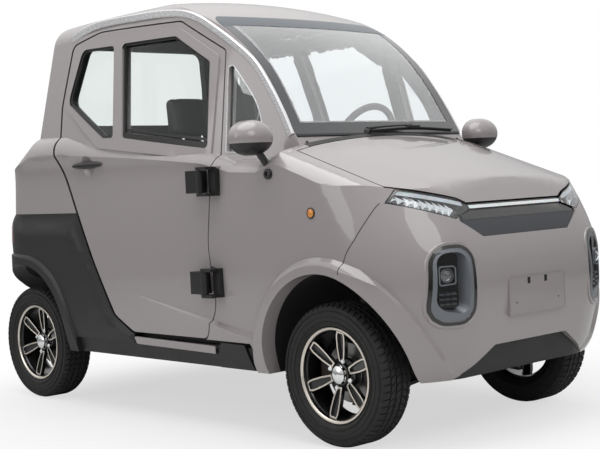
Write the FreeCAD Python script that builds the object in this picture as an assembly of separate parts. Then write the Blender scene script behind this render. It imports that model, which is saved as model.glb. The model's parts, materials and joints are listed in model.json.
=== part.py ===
import FreeCAD, Part
import math
import os

V = FreeCAD.Vector

# Low-speed two-door electric city car, at full size in millimetres.
# +X points forward, +Y to the car's left and +Z up. The origin lies on the ground under the
# middle of the body's length and width.

# Body shell
GROUND_CLEARANCE = 235.0
WALL = 40.0
FLOOR_THICKNESS = 26.0
PANEL_GAP = 6.0
REVEAL_GAP = 11.0
DECK_HALF_WIDTH = 630.0
DECK_CROWN_RADIUS = 3000.0
SHOULDER_RADIUS = 120.0
BELT_Z = 1100.0
BELT_HALF_WIDTH = 605.0
TUMBLEHOME = 0.21
SIDE_PLAN_RADIUS = 3340.0
SIDE_PLAN_CENTRE_X = -370.0
GREENHOUSE_FOOT_Z = 1062.0
GREENHOUSE_FOOT_SLOPE = -0.088
HOOD_CREASE_REAR_Y = 430.0
HOOD_CREASE_FRONT_Y = 300.0
HOOD_CREASE_TURN = 0.055
ROOF_Z = 1691.0
ROOF_CROWN_RADIUS = 3500.0

# Running gear
FRONT_AXLE_X = 860.0
REAR_AXLE_X = -1040.0
WHEEL_RADIUS = 250.0
WHEEL_CENTRE_Y = 512.0
TYRE_WIDTH = 144.0
RIM_RADIUS = 169.0
RIM_WIDTH = 122.0
HUB_FACE_Y = 500.0
ARCH_RADIUS = 312.0
ARCH_CENTRE_Z = 293.0
ARCH_INNER_Y = 285.0
LINER_THICKNESS = 5.0

# Columns: distance from the axle, half width of a spoke
SPOKE_PLATE = ((44.0, 12.0), (64.0, 15.0), (88.0, 18.5), (120.0, 20.5), (136.0, 20.5), (153.0, 17.0))
SPOKES = 6
SPOKE_START = 100.0
SPOKE_BORDER = 6.2
SPOKE_DEPTH = 18.0
POCKET_DEPTH = 9.0
DISH_HUB_Y = 26.0
DISH_RIM_Y = 48.0
HUB_RADIUS = 62.0
CAP_RADIUS = 34.0
CAP_HEIGHT = 26.0
CAP_DOME_RADIUS = 44.0
NUTS = 4
NUT_START = 20.0
NUT_CIRCLE = 50.0
NUT_RADIUS = 9.8
NUT_HEIGHT = 16.0
DISC_THICKNESS = 8.0
BELL_RADIUS = 52.0

# Glass
GLASS = 5.0
GLASS_LAP = 7.0
SIDE_GLASS_DEPTH = 12.0

# Hinges and handles
DOOR_HINGE_X = 284.0
DOOR_HINGE_Y = 655.0
DOOR_HINGE_HEIGHTS = (936.0, 560.0)
HINGE_KNUCKLE_RADIUS = 15.0
HINGE_HEIGHT = 84.0
HOOD_REAR_X = 664.0
HOOD_HALF_WIDTH = 515.0
TAILGATE_HALF_WIDTH = 470.0

# Columns: height, front X, rear X, half width, front corner radius, rear corner radius
PLAN_SECTIONS = (
    (235.0, 1225.0, -1215.0, 570.0, 300.0, 230.0),
    (330.0, 1270.0, -1262.0, 597.0, 320.0, 250.0),
    (480.0, 1300.0, -1296.0, 610.0, 330.0, 260.0),
    (650.0, 1292.0, -1302.0, 614.0, 330.0, 270.0),
    (800.0, 1232.0, -1300.0, 612.0, 330.0, 280.0),
    (910.0, 1168.0, -1296.0, 608.0, 330.0, 280.0),
    (1010.0, 1080.0, -1288.0, 610.0, 330.0, 280.0),
    (1260.0, 930.0, -1270.0, 608.0, 300.0, 280.0),
)

# Columns: X, Y and Z of the swage's ridge
SWAGE_ENDS = ((-470.0, 606.0, 546.0), (560.0, 626.0, 348.0))
SWAGE_FOOT_Y = 597.0
SWAGE_FOOT_Z = 322.0

# Columns: X, height of the hood, belt or rear deck on the centre line
DECK_STATIONS = (
    (1340.0, 745.0), (1245.0, 835.0), (1164.0, 909.0), (635.0, 1089.0), (540.0, 1058.0),
    (400.0, 1064.0), (240.0, 1105.0), (-696.0, 1222.0), (-950.0, 1216.0), (-1175.0, 1078.0),
    (-1340.0, 1010.0),
)

# Outlines of the side view. Columns: X, Z, corner radius
SIDE_PROFILE = (
    (-997.4, 900.0, 0.0), (744.4, 900.0, 0.0), (371.0, 1505.0, 870.0), (-73.0, 1691.0, 900.0),
    (-945.0, 1676.0, 30.0),
)
DOOR_OUTLINE = (
    (-262.0, 338.0, 60.0), (224.0, 338.0, 50.0), (296.0, 468.0, 120.0), (268.0, 700.0, 300.0),
    (300.0, 1000.0, 150.0), (263.0, 1432.0, 25.0), (9.0, 1572.0, 60.0), (-520.0, 1588.0, 300.0),
    (-748.0, 1552.0, 45.0), (-786.0, 1290.0, 200.0), (-758.0, 1120.0, 150.0), (-496.0, 611.0, 0.0),
    (-378.0, 404.0, 60.0),
)
REAR_WINDOW = (
    (-400.0, 1133.0, 25.0), (-323.0, 1131.0, 12.0), (-393.0, 1514.0, 20.0),
    (-640.0, 1522.0, 45.0), (-714.0, 1297.0, 45.0),
)
FRONT_WINDOW = (
    (-262.0, 1128.0, 15.0), (231.0, 1060.0, 15.0), (194.0, 1394.0, 20.0), (-4.0, 1511.0, 20.0),
    (-336.0, 1516.0, 20.0),
)
SURROUND_OUTLINE = (
    (-425.0, 1094.0, 60.0), (252.0, 1018.0, 25.0), (236.0, 1412.0, 30.0), (4.0, 1547.0, 60.0),
    (-660.0, 1562.0, 80.0), (-756.0, 1296.0, 80.0),
)
QUARTER_WINDOW = (
    (318.0, 1042.0, 12.0), (492.0, 1036.0, 14.0), (440.0, 1210.0, 320.0), (282.0, 1392.0, 12.0),
)
FENDER_SPLIT = ((1098.0, 840.0), (1005.0, 765.0), (974.0, 704.0), (933.0, 635.0), (927.0, 560.0))

# Outlines of the front view, right half mirrored. Columns: Y, Z, corner radius
WINDSCREEN_OUTLINE = (
    (-445.0, 1096.0, 40.0), (445.0, 1096.0, 40.0), (436.0, 1400.0, 900.0), (425.0, 1572.0, 60.0),
    (-425.0, 1572.0, 60.0), (-436.0, 1400.0, 900.0),
)
WINDSCREEN_RIM = 42.0
SILL_BLOCK = ((268.0, 236.0, 0.0), (462.0, 236.0, 0.0), (436.0, 332.0, 6.0), (300.0, 334.0, 8.0))
SILL_STRIP = ((-236.0, 296.0, 8.0), (262.0, 288.0, 4.0), (262.0, 318.0, 4.0), (-248.0, 326.0, 8.0))
LAMP_POD = ((-485.0, 437.0, 55.0), (-338.0, 437.0, 50.0), (-334.0, 678.0, 45.0), (-466.0, 678.0, 60.0))
POD_FLOOR = ((-466.0, 500.0, 30.0), (-378.0, 500.0, 30.0), (-374.0, 664.0, 25.0), (-456.0, 664.0, 35.0))
HEADLAMP = (
    (-540.0, 838.0, 0.0), (-344.0, 772.0, 12.0), (-262.0, 797.0, 0.0), (-262.0, 818.0, 0.0),
    (-300.0, 836.0, 0.0), (-540.0, 893.0, 0.0),
)
GRILLE_PANEL = (
    (-245.0, 708.0, 14.0), (245.0, 708.0, 14.0), (344.0, 772.0, 10.0), (262.0, 797.0, 0.0),
    (-262.0, 797.0, 0.0), (-344.0, 772.0, 10.0),
)
HOOD_LIP_Z = 818.0
HOOD_CORNER_Z = 887.0
LOWER_INTAKE = ((-395.0, 220.0, 0.0), (395.0, 220.0, 0.0), (203.0, 338.0, 20.0), (-203.0, 338.0, 20.0))
PLATE_HOLDER = ((-160.0, 428.0, 12.0), (160.0, 428.0, 12.0), (160.0, 561.0, 12.0), (-160.0, 561.0, 12.0))

# Panels, lamps and fittings
FAR = 900.0
SILL_TOP_Z = 340.0
SILL_PROUD = 9.0
CLADDING_TOP_Z = 829.0
CLADDING_FOOT_Z = 300.0
CLADDING_PROUD = 13.0
CLADDING_SLOPE = 32.0
TAIL_LAMP_PROUD = 18.0
ROOF_SPLIT_Z = 1596.0
COWL_HALF_WIDTH = 450.0
TAILGATE_TOP_Z = 1632.0
TAIL_WINDOW = ((-400.0, 1215.0, 40.0), (400.0, 1215.0, 40.0), (372.0, 1560.0, 50.0),
               (-372.0, 1560.0, 50.0))
RAIL_LINE = ((566.0, 1075.0), (509.0, 1174.0), (443.0, 1271.0), (356.0, 1371.0), (263.0, 1436.0),
             (120.0, 1528.0), (9.0, 1576.0), (-250.0, 1584.0), (-520.0, 1592.0), (-748.0, 1556.0))
RAIL_OFFSET = -42.0
RAIL_WIDTH = 22.0
RAIL_PROUD = 6.0
LIGHT_STRIP = ((-262.0, 797.0, 0.0), (262.0, 797.0, 0.0), (262.0, 818.0, 0.0), (-262.0, 818.0, 0.0))
POD_RIM = 12.0
POD_BACK_X = 1190.0
POD_FLOOR_X = 1212.0
POD_MOUTH_X = 1306.0
POD_LENS_Y = 415.0
POD_LENS_Z = 610.0
PLATE_FACE_X = 1307.0
PLATE_HOLE_Y = 120.0
PLATE_HOLE_Z = 473.0
PLATE_HOLE_RADIUS = 3.5
HINGE_PIN_RADIUS = 6.0
HANDLE_CUP_RADIUS = 62.0
HANDLE_CUP_Y = 658.0
SURROUND_PROUD = 7.0
HANDLE_LENGTH = 216.0
HANDLE_X = -500.0
HANDLE_Z = 1026.0
MIRROR_X = 572.0
MIRROR_Y = 640.0
MIRROR_Z = 1083.0
MIRROR_HALF_WIDTH = 86.0
MIRROR_RADIUS = 63.0
MIRROR_BACK = 30.0
MIRROR_GLASS_SHARE = 0.86
MIRROR_RECESS = 9.0
MIRROR_END_ANGLE = 0.12

# Floor, suspension and cabin
REAR_FLOOR_X = -790.0
REAR_FLOOR_Z = 446.0
BULKHEAD_X = 600.0
RAIL_INNER_Y = 190.0
FRAME_FOOT_Z = 190.0
FRAME_FRONT_X = 1010.0
BALL_JOINT_Y = 460.0
BALL_JOINT_Z = 165.0
STRUT_TOP_Y = 375.0
STRUT_TOP_Z = 600.0
SPRING_START = 352.0
DISC_RADIUS = 104.0
DISC_Y = 486.0
SPINDLE_RADIUS = 16.0
SPINDLE_CLEARANCE = 0.05
SEAT_Y = 245.0
BATTERY_TOP_Z = 450.0
COLUMN_TILT = 25.0
COLUMN_LENGTH = 250.0
WHEEL_HUB_DEPTH = 22.0
SEAT_CLEARANCE = 0.3
STEERING_WHEEL_CENTRE = (318.0, 195.0, 1062.0)
STEERING_WHEEL_RADIUS = 175.0


def box(x0, x1, y0, y1, z0, z1):
    return Part.makeBox(x1 - x0, y1 - y0, z1 - z0, V(x0, y0, z0))


def rod(start, end, radius):
    a = V(*start)
    b = V(*end)
    return Part.makeCylinder(radius, (b - a).Length, a, b - a)


def tube(points, radius):
    """A round bar along a bent line, with a ball in each bend."""
    shape = None
    for a, b in zip(points, points[1:]):
        piece = rod(a, b, radius)
        shape = piece if shape is None else shape.fuse(piece)
    for p in points[1:-1]:
        shape = shape.fuse(Part.makeSphere(radius, V(*p)))
    return shape


def mirrored(shape):
    return shape.mirror(V(0, 0, 0), V(0, 1, 0))


def largest(shape):
    return max(shape.Solids, key=lambda solid: solid.Volume)


def both_sides(shape):
    return Part.makeCompound([shape, mirrored(shape)])


def corner_points(outline, inset=0.0):
    """Line and arc points of a counter-clockwise outline (u, v, radius), moved inwards."""
    lines = []
    count = len(outline)
    for i in range(count):
        u0, v0 = outline[i][:2]
        u1, v1 = outline[(i + 1) % count][:2]
        length = math.hypot(u1 - u0, v1 - v0)
        du, dv = (u1 - u0) / length, (v1 - v0) / length
        lines.append((u0 - dv * inset, v0 + du * inset, du, dv))
    corners = []
    for i in range(count):
        au, av, adu, adv = lines[i - 1]
        bu, bv, bdu, bdv = lines[i]
        turn = adu * bdv - adv * bdu
        step = ((bu - au) * bdv - (bv - av) * bdu) / turn
        u, v = au + adu * step, av + adv * step
        radius = outline[i][2]
        if radius > 0:
            radius += -inset if turn > 0 else inset
        if radius <= 0.5:
            corners.append(((u, v), None, (u, v)))
            continue
        angle = math.acos(max(-1.0, min(1.0, adu * bdu + adv * bdv)))
        cut = radius * math.tan(angle / 2)
        wu, wv = bdu - adu, bdv - adv
        depth = (radius / math.cos(angle / 2) - radius) / math.hypot(wu, wv)
        corners.append(((u - adu * cut, v - adv * cut), (u + wu * depth, v + wv * depth),
                        (u + bdu * cut, v + bdv * cut)))
    return corners


def outline_wire(outline, place, inset=0.0):
    corners = corner_points(outline, inset)
    edges = []
    for i, (start, middle, end) in enumerate(corners):
        if middle:
            edges.append(Part.Arc(place(*start), place(*middle), place(*end)).toShape())
        following = corners[(i + 1) % len(corners)][0]
        if math.hypot(following[0] - end[0], following[1] - end[1]) > 1e-6:
            edges.append(Part.makeLine(place(*end), place(*following)))
    return Part.Wire(edges)


def side_prism(outline, y0, y1, inset=0.0):
    """Solid with the outline in the side view, between two values of Y."""
    wire = outline_wire(outline, lambda u, v: V(u, y0, v), inset)
    return Part.Face(wire).extrude(V(0, y1 - y0, 0))


def front_prism(outline, x0, x1, inset=0.0):
    """Solid with the outline in the front view, between two values of X."""
    wire = outline_wire(outline, lambda u, v: V(x0, u, v), inset)
    return Part.Face(wire).extrude(V(x1 - x0, 0, 0))


def turned(outline, centre, axis, angle=360.0):
    """Solid of revolution of an outline (radius, height, corner) about a line through centre.

    The axis is 'y' or 'z'.
    """
    cx, cy, cz = centre
    if axis == 'z':
        wire = outline_wire(outline, lambda r, h: V(cx + r, cy, cz + h))
        direction = V(0, 0, 1)
    else:
        wire = outline_wire(outline, lambda r, h: V(cx + r, cy + h, cz))
        direction = V(0, 1, 0)
    return Part.Face(wire).revolve(V(cx, cy, cz), direction, angle)


def plan_section(z, front, rear, half, front_radius, rear_radius):
    """Closed plan outline of the lower body, of four lines and four arcs."""
    outline = ((rear, -half, rear_radius), (front, -half, front_radius),
               (front, half, front_radius), (rear, half, rear_radius))
    return outline_wire(outline, lambda u, v: V(u, v, z))


def lower_hull(inset, bottom, wider=0.0):
    """Closed skin of the lower body, moved inwards, or wider at the sides and fading round the corners."""
    wires = []
    for z, front, rear, half, front_radius, rear_radius in PLAN_SECTIONS:
        wires.append(plan_section(max(z, bottom) if z > GROUND_CLEARANCE else bottom,
                                  front - inset, rear + inset, half - inset + wider,
                                  front_radius - inset, rear_radius - inset))
    return Part.makeLoft(wires, True, False)


def deck_section(x, top, inset):
    """Cross-section under the hood, belt or rear deck: a crowned middle, a crease and a shoulder."""
    half = DECK_HALF_WIDTH - inset
    crown = DECK_CROWN_RADIUS - inset
    shoulder = SHOULDER_RADIUS - inset
    top = top - inset
    share = min(1.0, max(0.0, (x - HOOD_REAR_X) / (DECK_STATIONS[0][0] - HOOD_REAR_X)))
    crease_y = HOOD_CREASE_REAR_Y + share * (HOOD_CREASE_FRONT_Y - HOOD_CREASE_REAR_Y)
    fall = math.asin(crease_y / crown)
    crease_z = top - crown * (1 - math.cos(fall))
    fall += HOOD_CREASE_TURN
    meet_y = half - shoulder * (1 - math.sin(fall))
    meet_z = crease_z - (meet_y - crease_y) * math.tan(fall)
    arc_y = half - shoulder
    arc_z = meet_z - shoulder * math.cos(fall)
    middle = (math.pi / 2 + fall) / 2
    mid_y, mid_z = arc_y + shoulder * math.sin(middle), arc_z + shoulder * math.cos(middle)
    base = 100.0
    edges = [
        Part.makeLine(V(x, -half, base), V(x, half, base)),
        Part.makeLine(V(x, half, base), V(x, half, arc_z)),
        Part.Arc(V(x, half, arc_z), V(x, mid_y, mid_z), V(x, meet_y, meet_z)).toShape(),
        Part.makeLine(V(x, meet_y, meet_z), V(x, crease_y, crease_z)),
        Part.Arc(V(x, crease_y, crease_z), V(x, 0, top), V(x, -crease_y, crease_z)).toShape(),
        Part.makeLine(V(x, -crease_y, crease_z), V(x, -meet_y, meet_z)),
        Part.Arc(V(x, -meet_y, meet_z), V(x, -mid_y, mid_z), V(x, -half, arc_z)).toShape(),
        Part.makeLine(V(x, -half, arc_z), V(x, -half, base)),
    ]
    return Part.Wire(edges)


def lower_body(inset, bottom=GROUND_CLEARANCE):
    """Everything below the hood, belt and rear deck, without the greenhouse."""
    deck = Part.makeLoft([deck_section(x, top, inset) for x, top in DECK_STATIONS], True, True)
    return lower_hull(inset, bottom).common(deck)


def crowned_profile(inset):
    """The side view of the greenhouse swung about a low axis, which gives the crown across."""
    face = Part.Face(outline_wire(SIDE_PROFILE, lambda u, v: V(u, 0, v), inset))
    centre = V(0, 0, ROOF_Z - ROOF_CROWN_RADIUS)
    face.rotate(centre, V(1, 0, 0), -22)
    return face.revolve(centre, V(1, 0, 0), 44)


def side_cone(inset):
    """Solid bounded on the left by the leaning, plan-curved side of the greenhouse."""
    axis_y = BELT_HALF_WIDTH - SIDE_PLAN_RADIUS
    foot_z = SIDE_PROFILE[0][1]
    eave_z = 1636.0
    eave_y = BELT_HALF_WIDTH - TUMBLEHOME * (eave_z - BELT_Z)
    foot_y = BELT_HALF_WIDTH - TUMBLEHOME * (foot_z - BELT_Z)
    top_z = eave_z + 0.25 * eave_y
    outline = ((axis_y - inset, foot_z - inset, 0.0), (foot_y, foot_z, 0.0), (eave_y, eave_z, 110.0),
               (0.0, top_z, 0.0), (axis_y - inset, top_z + inset, 0.0))
    x = SIDE_PLAN_CENTRE_X
    face = Part.Face(outline_wire(outline, lambda u, v: V(x, u, v), inset))
    face.rotate(V(x, axis_y, 0), V(0, 0, 1), -90)
    return face.revolve(V(x, axis_y, 0), V(0, 0, 1), 180)


def side_layer(depth, thickness):
    """Thin layer of the left side of the greenhouse, for glass and trim."""
    return side_cone(depth).cut(side_cone(depth + thickness))


def above_belt(drop):
    """Space over the sloping line where the greenhouse rises from the belt."""
    line = [(x, GREENHOUSE_FOOT_Z + GREENHOUSE_FOOT_SLOPE * (x - SIDE_PLAN_CENTRE_X) - drop)
            for x in (-1500.0, 1200.0)]
    return side_prism(tuple((x, z, 0.0) for x, z in line) + ((1200.0, 2200.0, 0.0), (-1500.0, 2200.0, 0.0)),
                      -FAR, FAR)


def greenhouse(inset):
    cone = side_cone(inset)
    return crowned_profile(inset).common(cone).common(mirrored(cone)).common(above_belt(abs(inset)))


def wheel_space(axle_x, y0, y1, radius=ARCH_RADIUS):
    return Part.makeCylinder(radius, y1 - y0, V(axle_x, y0, ARCH_CENTRE_Z), V(0, 1, 0))


def all_wheel_spaces(radius=ARCH_RADIUS, inner=ARCH_INNER_Y):
    outer_y = 720.0
    spaces = [wheel_space(x, y0, y1, radius) for x in (FRONT_AXLE_X, REAR_AXLE_X)
              for y0, y1 in ((-outer_y, -inner), (inner, outer_y))]
    return Part.makeCompound(spaces)


def swage():
    """Rib along the foot of the door and fender: it grows forwards and tapers to the door's lower edge."""
    sections = []
    for x, ridge_y, ridge_z in SWAGE_ENDS:
        outline = ((560.0, ridge_z + 26.0), (592.0, ridge_z + 26.0), (ridge_y, ridge_z),
                   (SWAGE_FOOT_Y, SWAGE_FOOT_Z), (560.0, SWAGE_FOOT_Z))
        points = [V(x, y, z) for y, z in outline]
        sections.append(Part.makePolygon(points + points[:1]))
    return Part.makeLoft(sections, True, True)


# Body shell, before it is cut into panels
outer_lower = lower_body(0.0)
inner_lower = lower_body(WALL, 180.0)
outer_body = outer_lower.fuse(greenhouse(0.0)).fuse(swage()).fuse(mirrored(swage()))
inner_body = inner_lower.fuse(greenhouse(WALL))
wheel_spaces = all_wheel_spaces()
shell = outer_body.cut(inner_body).cut(wheel_spaces)

# Flares round the wheel arches follow the plan corners and stand proud of the body side
FLARE_PROUD = 24.0
FLARE_SPREAD = 62.0
FLARE_OUTLINE = ((ARCH_RADIUS, 300.0, 0.0), (ARCH_RADIUS + FLARE_SPREAD, 300.0, 0.0),
                 (ARCH_RADIUS + FLARE_SPREAD, 606.0, 0.0), (ARCH_RADIUS + 34.0, 640.0, 40.0),
                 (ARCH_RADIUS, 640.0, 0.0))
below_floor = box(-1500, 1500, -FAR, FAR, 0, GROUND_CLEARANCE)
flare_skin = lower_hull(0.0, GROUND_CLEARANCE, FLARE_PROUD).cut(outer_lower)
left_half = box(-1500, 1500, 0, FAR, 0, 2000)
front_half = box(0, 1500, -FAR, FAR, 0, 2000)


def flare(axle_x):
    ring = turned(FLARE_OUTLINE, (axle_x, 0.0, ARCH_CENTRE_Z), 'y')
    ring = ring.common(box(axle_x - 450, axle_x + 450, 300, FAR, GROUND_CLEARANCE, 780))
    return ring.common(flare_skin)


# Regions that cut the shell into panels
door_hole = side_prism(DOOR_OUTLINE, 150.0, FAR)
door_body = side_prism(DOOR_OUTLINE, 150.0, FAR, PANEL_GAP)
rear_edge_shift = door_body.copy()
rear_edge_shift.translate(V(REVEAL_GAP - PANEL_GAP + 3.0, 0, 0))
door_body = door_body.common(rear_edge_shift)
hood_outline = ((-HOOD_HALF_WIDTH, HOOD_CORNER_Z, 0.0), (-300.0, 836.0, 0.0),
                (-262.0, HOOD_LIP_Z, 0.0), (262.0, HOOD_LIP_Z, 0.0),
                (300.0, 836.0, 0.0), (HOOD_HALF_WIDTH, HOOD_CORNER_Z, 0.0),
                (HOOD_HALF_WIDTH, 1500.0, 0.0), (-HOOD_HALF_WIDTH, 1500.0, 0.0))
hood_hole = front_prism(hood_outline, HOOD_REAR_X, 1400.0).cut(greenhouse(-4.0))
hood_body = front_prism(hood_outline, HOOD_REAR_X + PANEL_GAP, 1400.0, PANEL_GAP).cut(greenhouse(-10.0))
tail_outline = ((-TAILGATE_HALF_WIDTH, 690.0, 40.0), (TAILGATE_HALF_WIDTH, 690.0, 40.0),
                (TAILGATE_HALF_WIDTH, 1175.0, 60.0), (430.0, TAILGATE_TOP_Z, 40.0),
                (-430.0, TAILGATE_TOP_Z, 40.0), (-TAILGATE_HALF_WIDTH, 1175.0, 60.0))
tail_hole = front_prism(tail_outline, -1400.0, -880.0)
tail_body = front_prism(tail_outline, -1400.0, -880.0, PANEL_GAP)
cladding_outline = ((-1500, 100, 0), (-250, 100, 0), (-250, 340, 0), (-366, 404, 0),
                    (-484, 611, 0), (-607, CLADDING_TOP_Z, 0), (-1500, CLADDING_TOP_Z, 0))
cladding_region = side_prism(cladding_outline, -FAR, FAR)
front_region = side_prism(((900, 100, 0), (1500, 100, 0), (1500, 900, 0), (1128, 900, 0))
                          + tuple((x, z, 0) for x, z in FENDER_SPLIT), -FAR, FAR)
sill_region = box(-360, 470, 200, FAR, 100, SILL_TOP_Z)
pillar_region = box(-60, 900, -FAR, FAR, 900, 2000).cut(outer_lower)
roof_region = box(-1500, -60, -FAR, FAR, ROOF_SPLIT_Z, 2000)
cowl_region = box(420, HOOD_REAR_X, -COWL_HALF_WIDTH, COWL_HALF_WIDTH, 900, 1200)

fixed_shell = shell.cut(both_sides(door_hole)).cut(hood_hole).cut(tail_hole)
parts = {}

# Doors with their panes, which sit in grooves of the frame
left_door = shell.common(door_body)
window_glass = side_layer(SIDE_GLASS_DEPTH, GLASS)
rear_pane = window_glass.common(side_prism(REAR_WINDOW, 200, FAR, -GLASS_LAP))
front_pane = window_glass.common(side_prism(FRONT_WINDOW, 200, FAR, -GLASS_LAP))
left_door = left_door.cut(side_prism(REAR_WINDOW, 200, FAR)).cut(side_prism(FRONT_WINDOW, 200, FAR))
surround = side_cone(-SURROUND_PROUD).cut(side_cone(0.0)).common(side_prism(SURROUND_OUTLINE, 200, FAR))
surround = surround.common(door_body).common(crowned_profile(0.0)).common(above_belt(0.0))
surround = surround.cut(side_prism(REAR_WINDOW, 200, FAR)).cut(side_prism(FRONT_WINDOW, 200, FAR))
left_door = left_door.fuse(surround).cut(rear_pane).cut(front_pane)
left_door = left_door.cut(Part.makeSphere(HANDLE_CUP_RADIUS, V(HANDLE_X, HANDLE_CUP_Y, HANDLE_Z - 12.0)))
left_panes = Part.makeCompound([rear_pane, front_pane])
parts['door_shell_l'] = left_door
parts['door_shell_r'] = mirrored(left_door)
parts['door_glass_l'] = left_panes
parts['door_glass_r'] = mirrored(left_panes)


PIN_CLEARANCE = 0.06


def door_trim():
    """Outside handle and the covers over the door's half of both hinges."""
    solids = []
    y_skin = PLAN_SECTIONS[5][3] - 22.0
    grip = Part.makeSphere(14.0, V(0, 0, 0))
    scaled = FreeCAD.Matrix()
    scaled.scale(HANDLE_LENGTH / 28.0, 0.8, 1.0)
    grip = grip.transformGeometry(scaled)
    grip.translate(V(HANDLE_X, y_skin + 34.0, HANDLE_Z))
    feet = [rod((HANDLE_X + s * HANDLE_LENGTH * 0.32, y_skin, HANDLE_Z),
                (HANDLE_X + s * HANDLE_LENGTH * 0.32, y_skin + 34.0, HANDLE_Z), 8.0) for s in (-1, 1)]
    solids.append(grip.fuse(feet[0]).fuse(feet[1]).cut(left_door))
    for z in DOOR_HINGE_HEIGHTS:
        half = HINGE_HEIGHT / 2
        knuckle = Part.makeCylinder(HINGE_KNUCKLE_RADIUS, HINGE_HEIGHT,
                                    V(DOOR_HINGE_X, DOOR_HINGE_Y, z - half))
        leaf = box(DOOR_HINGE_X - 76, DOOR_HINGE_X, y_skin + 12, DOOR_HINGE_Y + 6, z - half, z + half)
        cover = leaf.fuse(knuckle).removeSplitter()
        pin_bore = Part.makeCylinder(HINGE_PIN_RADIUS + PIN_CLEARANCE, HINGE_HEIGHT + 2,
                                     V(DOOR_HINGE_X, DOOR_HINGE_Y, z - half - 1))
        inside = box(DOOR_HINGE_X - 14, DOOR_HINGE_X + 40, 500, 636, z - 60, z + 60)
        solids.append(cover.cut(pin_bore).cut(inside).cut(left_door))
    return Part.makeCompound(solids)


def hinge_leaf(z):
    """Body half of one door hinge: a plate on the fender, two lugs and the pin."""
    half = HINGE_HEIGHT / 2
    pin = Part.makeCylinder(HINGE_PIN_RADIUS, HINGE_HEIGHT + 24,
                            V(DOOR_HINGE_X, DOOR_HINGE_Y, z - half - 12))
    plate = box(DOOR_HINGE_X + 22, DOOR_HINGE_X + 60, 580, 630, z - half - 12, z + half + 12)
    solid = pin.fuse(plate)
    for low in (z - half - 12, z + half + 1):
        lug = Part.makeCylinder(HINGE_KNUCKLE_RADIUS - 1, 11, V(DOOR_HINGE_X, DOOR_HINGE_Y, low))
        arm = box(DOOR_HINGE_X, DOOR_HINGE_X + 50, 624, DOOR_HINGE_Y + 10, low, low + 11)
        solid = solid.fuse(lug).fuse(arm)
    return solid.removeSplitter()


left_trim = door_trim()
parts['door_trim_l'] = left_trim
parts['door_trim_r'] = mirrored(left_trim)

# Hood and tailgate
parts['hood_panel'] = shell.common(hood_body)
rear_skin = crowned_profile(0.0).cut(crowned_profile(GLASS))
tail_glass = rear_skin.common(front_prism(TAIL_WINDOW, -1100, -850, -GLASS_LAP * 3))
tailgate = shell.common(tail_body)
parts['tailgate_shell'] = tailgate.cut(tail_glass).cut(front_prism(TAIL_WINDOW, -1100, -850))
parts['tailgate_glass'] = tail_glass

# Windscreen bonded over its frame, and the fixed quarter windows behind the pillars
windscreen = rear_skin.common(front_prism(WINDSCREEN_OUTLINE, 60, 900)).cut(outer_lower)
quarter_pane = window_glass.common(side_prism(QUARTER_WINDOW, 200, FAR, -GLASS_LAP)).cut(outer_lower)
upper_frame = fixed_shell.common(pillar_region).fuse(fixed_shell.common(roof_region))
upper_frame = upper_frame.cut(windscreen)
upper_frame = upper_frame.cut(front_prism(WINDSCREEN_OUTLINE, 60, 900, WINDSCREEN_RIM))
upper_frame = upper_frame.cut(side_prism(QUARTER_WINDOW, -FAR, FAR))
upper_frame = upper_frame.cut(both_sides(quarter_pane))
parts['roof_panel'] = upper_frame
parts['fixed_glass'] = Part.makeCompound([windscreen, quarter_pane, mirrored(quarter_pane)])


def band(points, near, far):
    """Closed outline between two offsets to the left of a line of points."""
    sides = []
    for offset in (near, far):
        row = []
        for i, (u, v) in enumerate(points):
            before = points[max(i - 1, 0)]
            after = points[min(i + 1, len(points) - 1)]
            du, dv = after[0] - before[0], after[1] - before[1]
            length = math.hypot(du, dv)
            row.append((u - dv / length * offset, v + du / length * offset, 0.0))
        sides.append(row)
    return tuple(sides[0] + sides[1][::-1])


rail_skin = side_cone(-RAIL_PROUD).cut(side_cone(0.0))
rail = rail_skin.common(side_prism(band(RAIL_LINE, RAIL_OFFSET, RAIL_OFFSET + RAIL_WIDTH), 200, FAR))
rail = rail.common(crowned_profile(-1.0)).cut(outer_lower)
parts['roof_rails'] = both_sides(rail)

# Fixed lower panels
lower_shell = fixed_shell.cut(pillar_region).cut(roof_region)
cladding = lower_shell.common(cladding_region)


def raised_cladding():
    """Skin that stands proud of the rear quarters and the rear end, with sloped borders."""
    levels = [(z, front, rear, half, fr, rr) for z, front, rear, half, fr, rr in PLAN_SECTIONS if z < 700]
    top = [section for section in PLAN_SECTIONS if section[0] == 800.0][0]
    wires = [plan_section(z, front + CLADDING_PROUD, rear - CLADDING_PROUD, half + CLADDING_PROUD,
                          fr + CLADDING_PROUD, rr + CLADDING_PROUD)
             for z, front, rear, half, fr, rr in levels]
    for z, proud in ((CLADDING_TOP_Z - CLADDING_SLOPE, CLADDING_PROUD), (CLADDING_TOP_Z, -2.0)):
        wires.append(plan_section(z, top[1] + proud, top[2] - proud, top[3] + proud, top[4] + proud,
                                  top[5] + proud))
    skin = Part.makeLoft(wires, True, False).cut(outer_lower)
    near_y, far_y = 600.0, 600.0 + 3 * CLADDING_PROUD
    near = outline_wire(cladding_outline, lambda u, v: V(u, near_y, v))
    far = outline_wire(cladding_outline, lambda u, v: V(u, far_y, v), 3 * CLADDING_SLOPE)
    slope = Part.makeLoft([near, far], True, True)
    region = side_prism(cladding_outline, -near_y, near_y).fuse(slope).fuse(mirrored(slope))
    skin = skin.common(region).cut(wheel_spaces).cut(both_sides(door_hole)).cut(tail_hole)
    return skin.cut(box(-1500, 1500, -FAR, FAR, 0, CLADDING_FOOT_Z))


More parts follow.
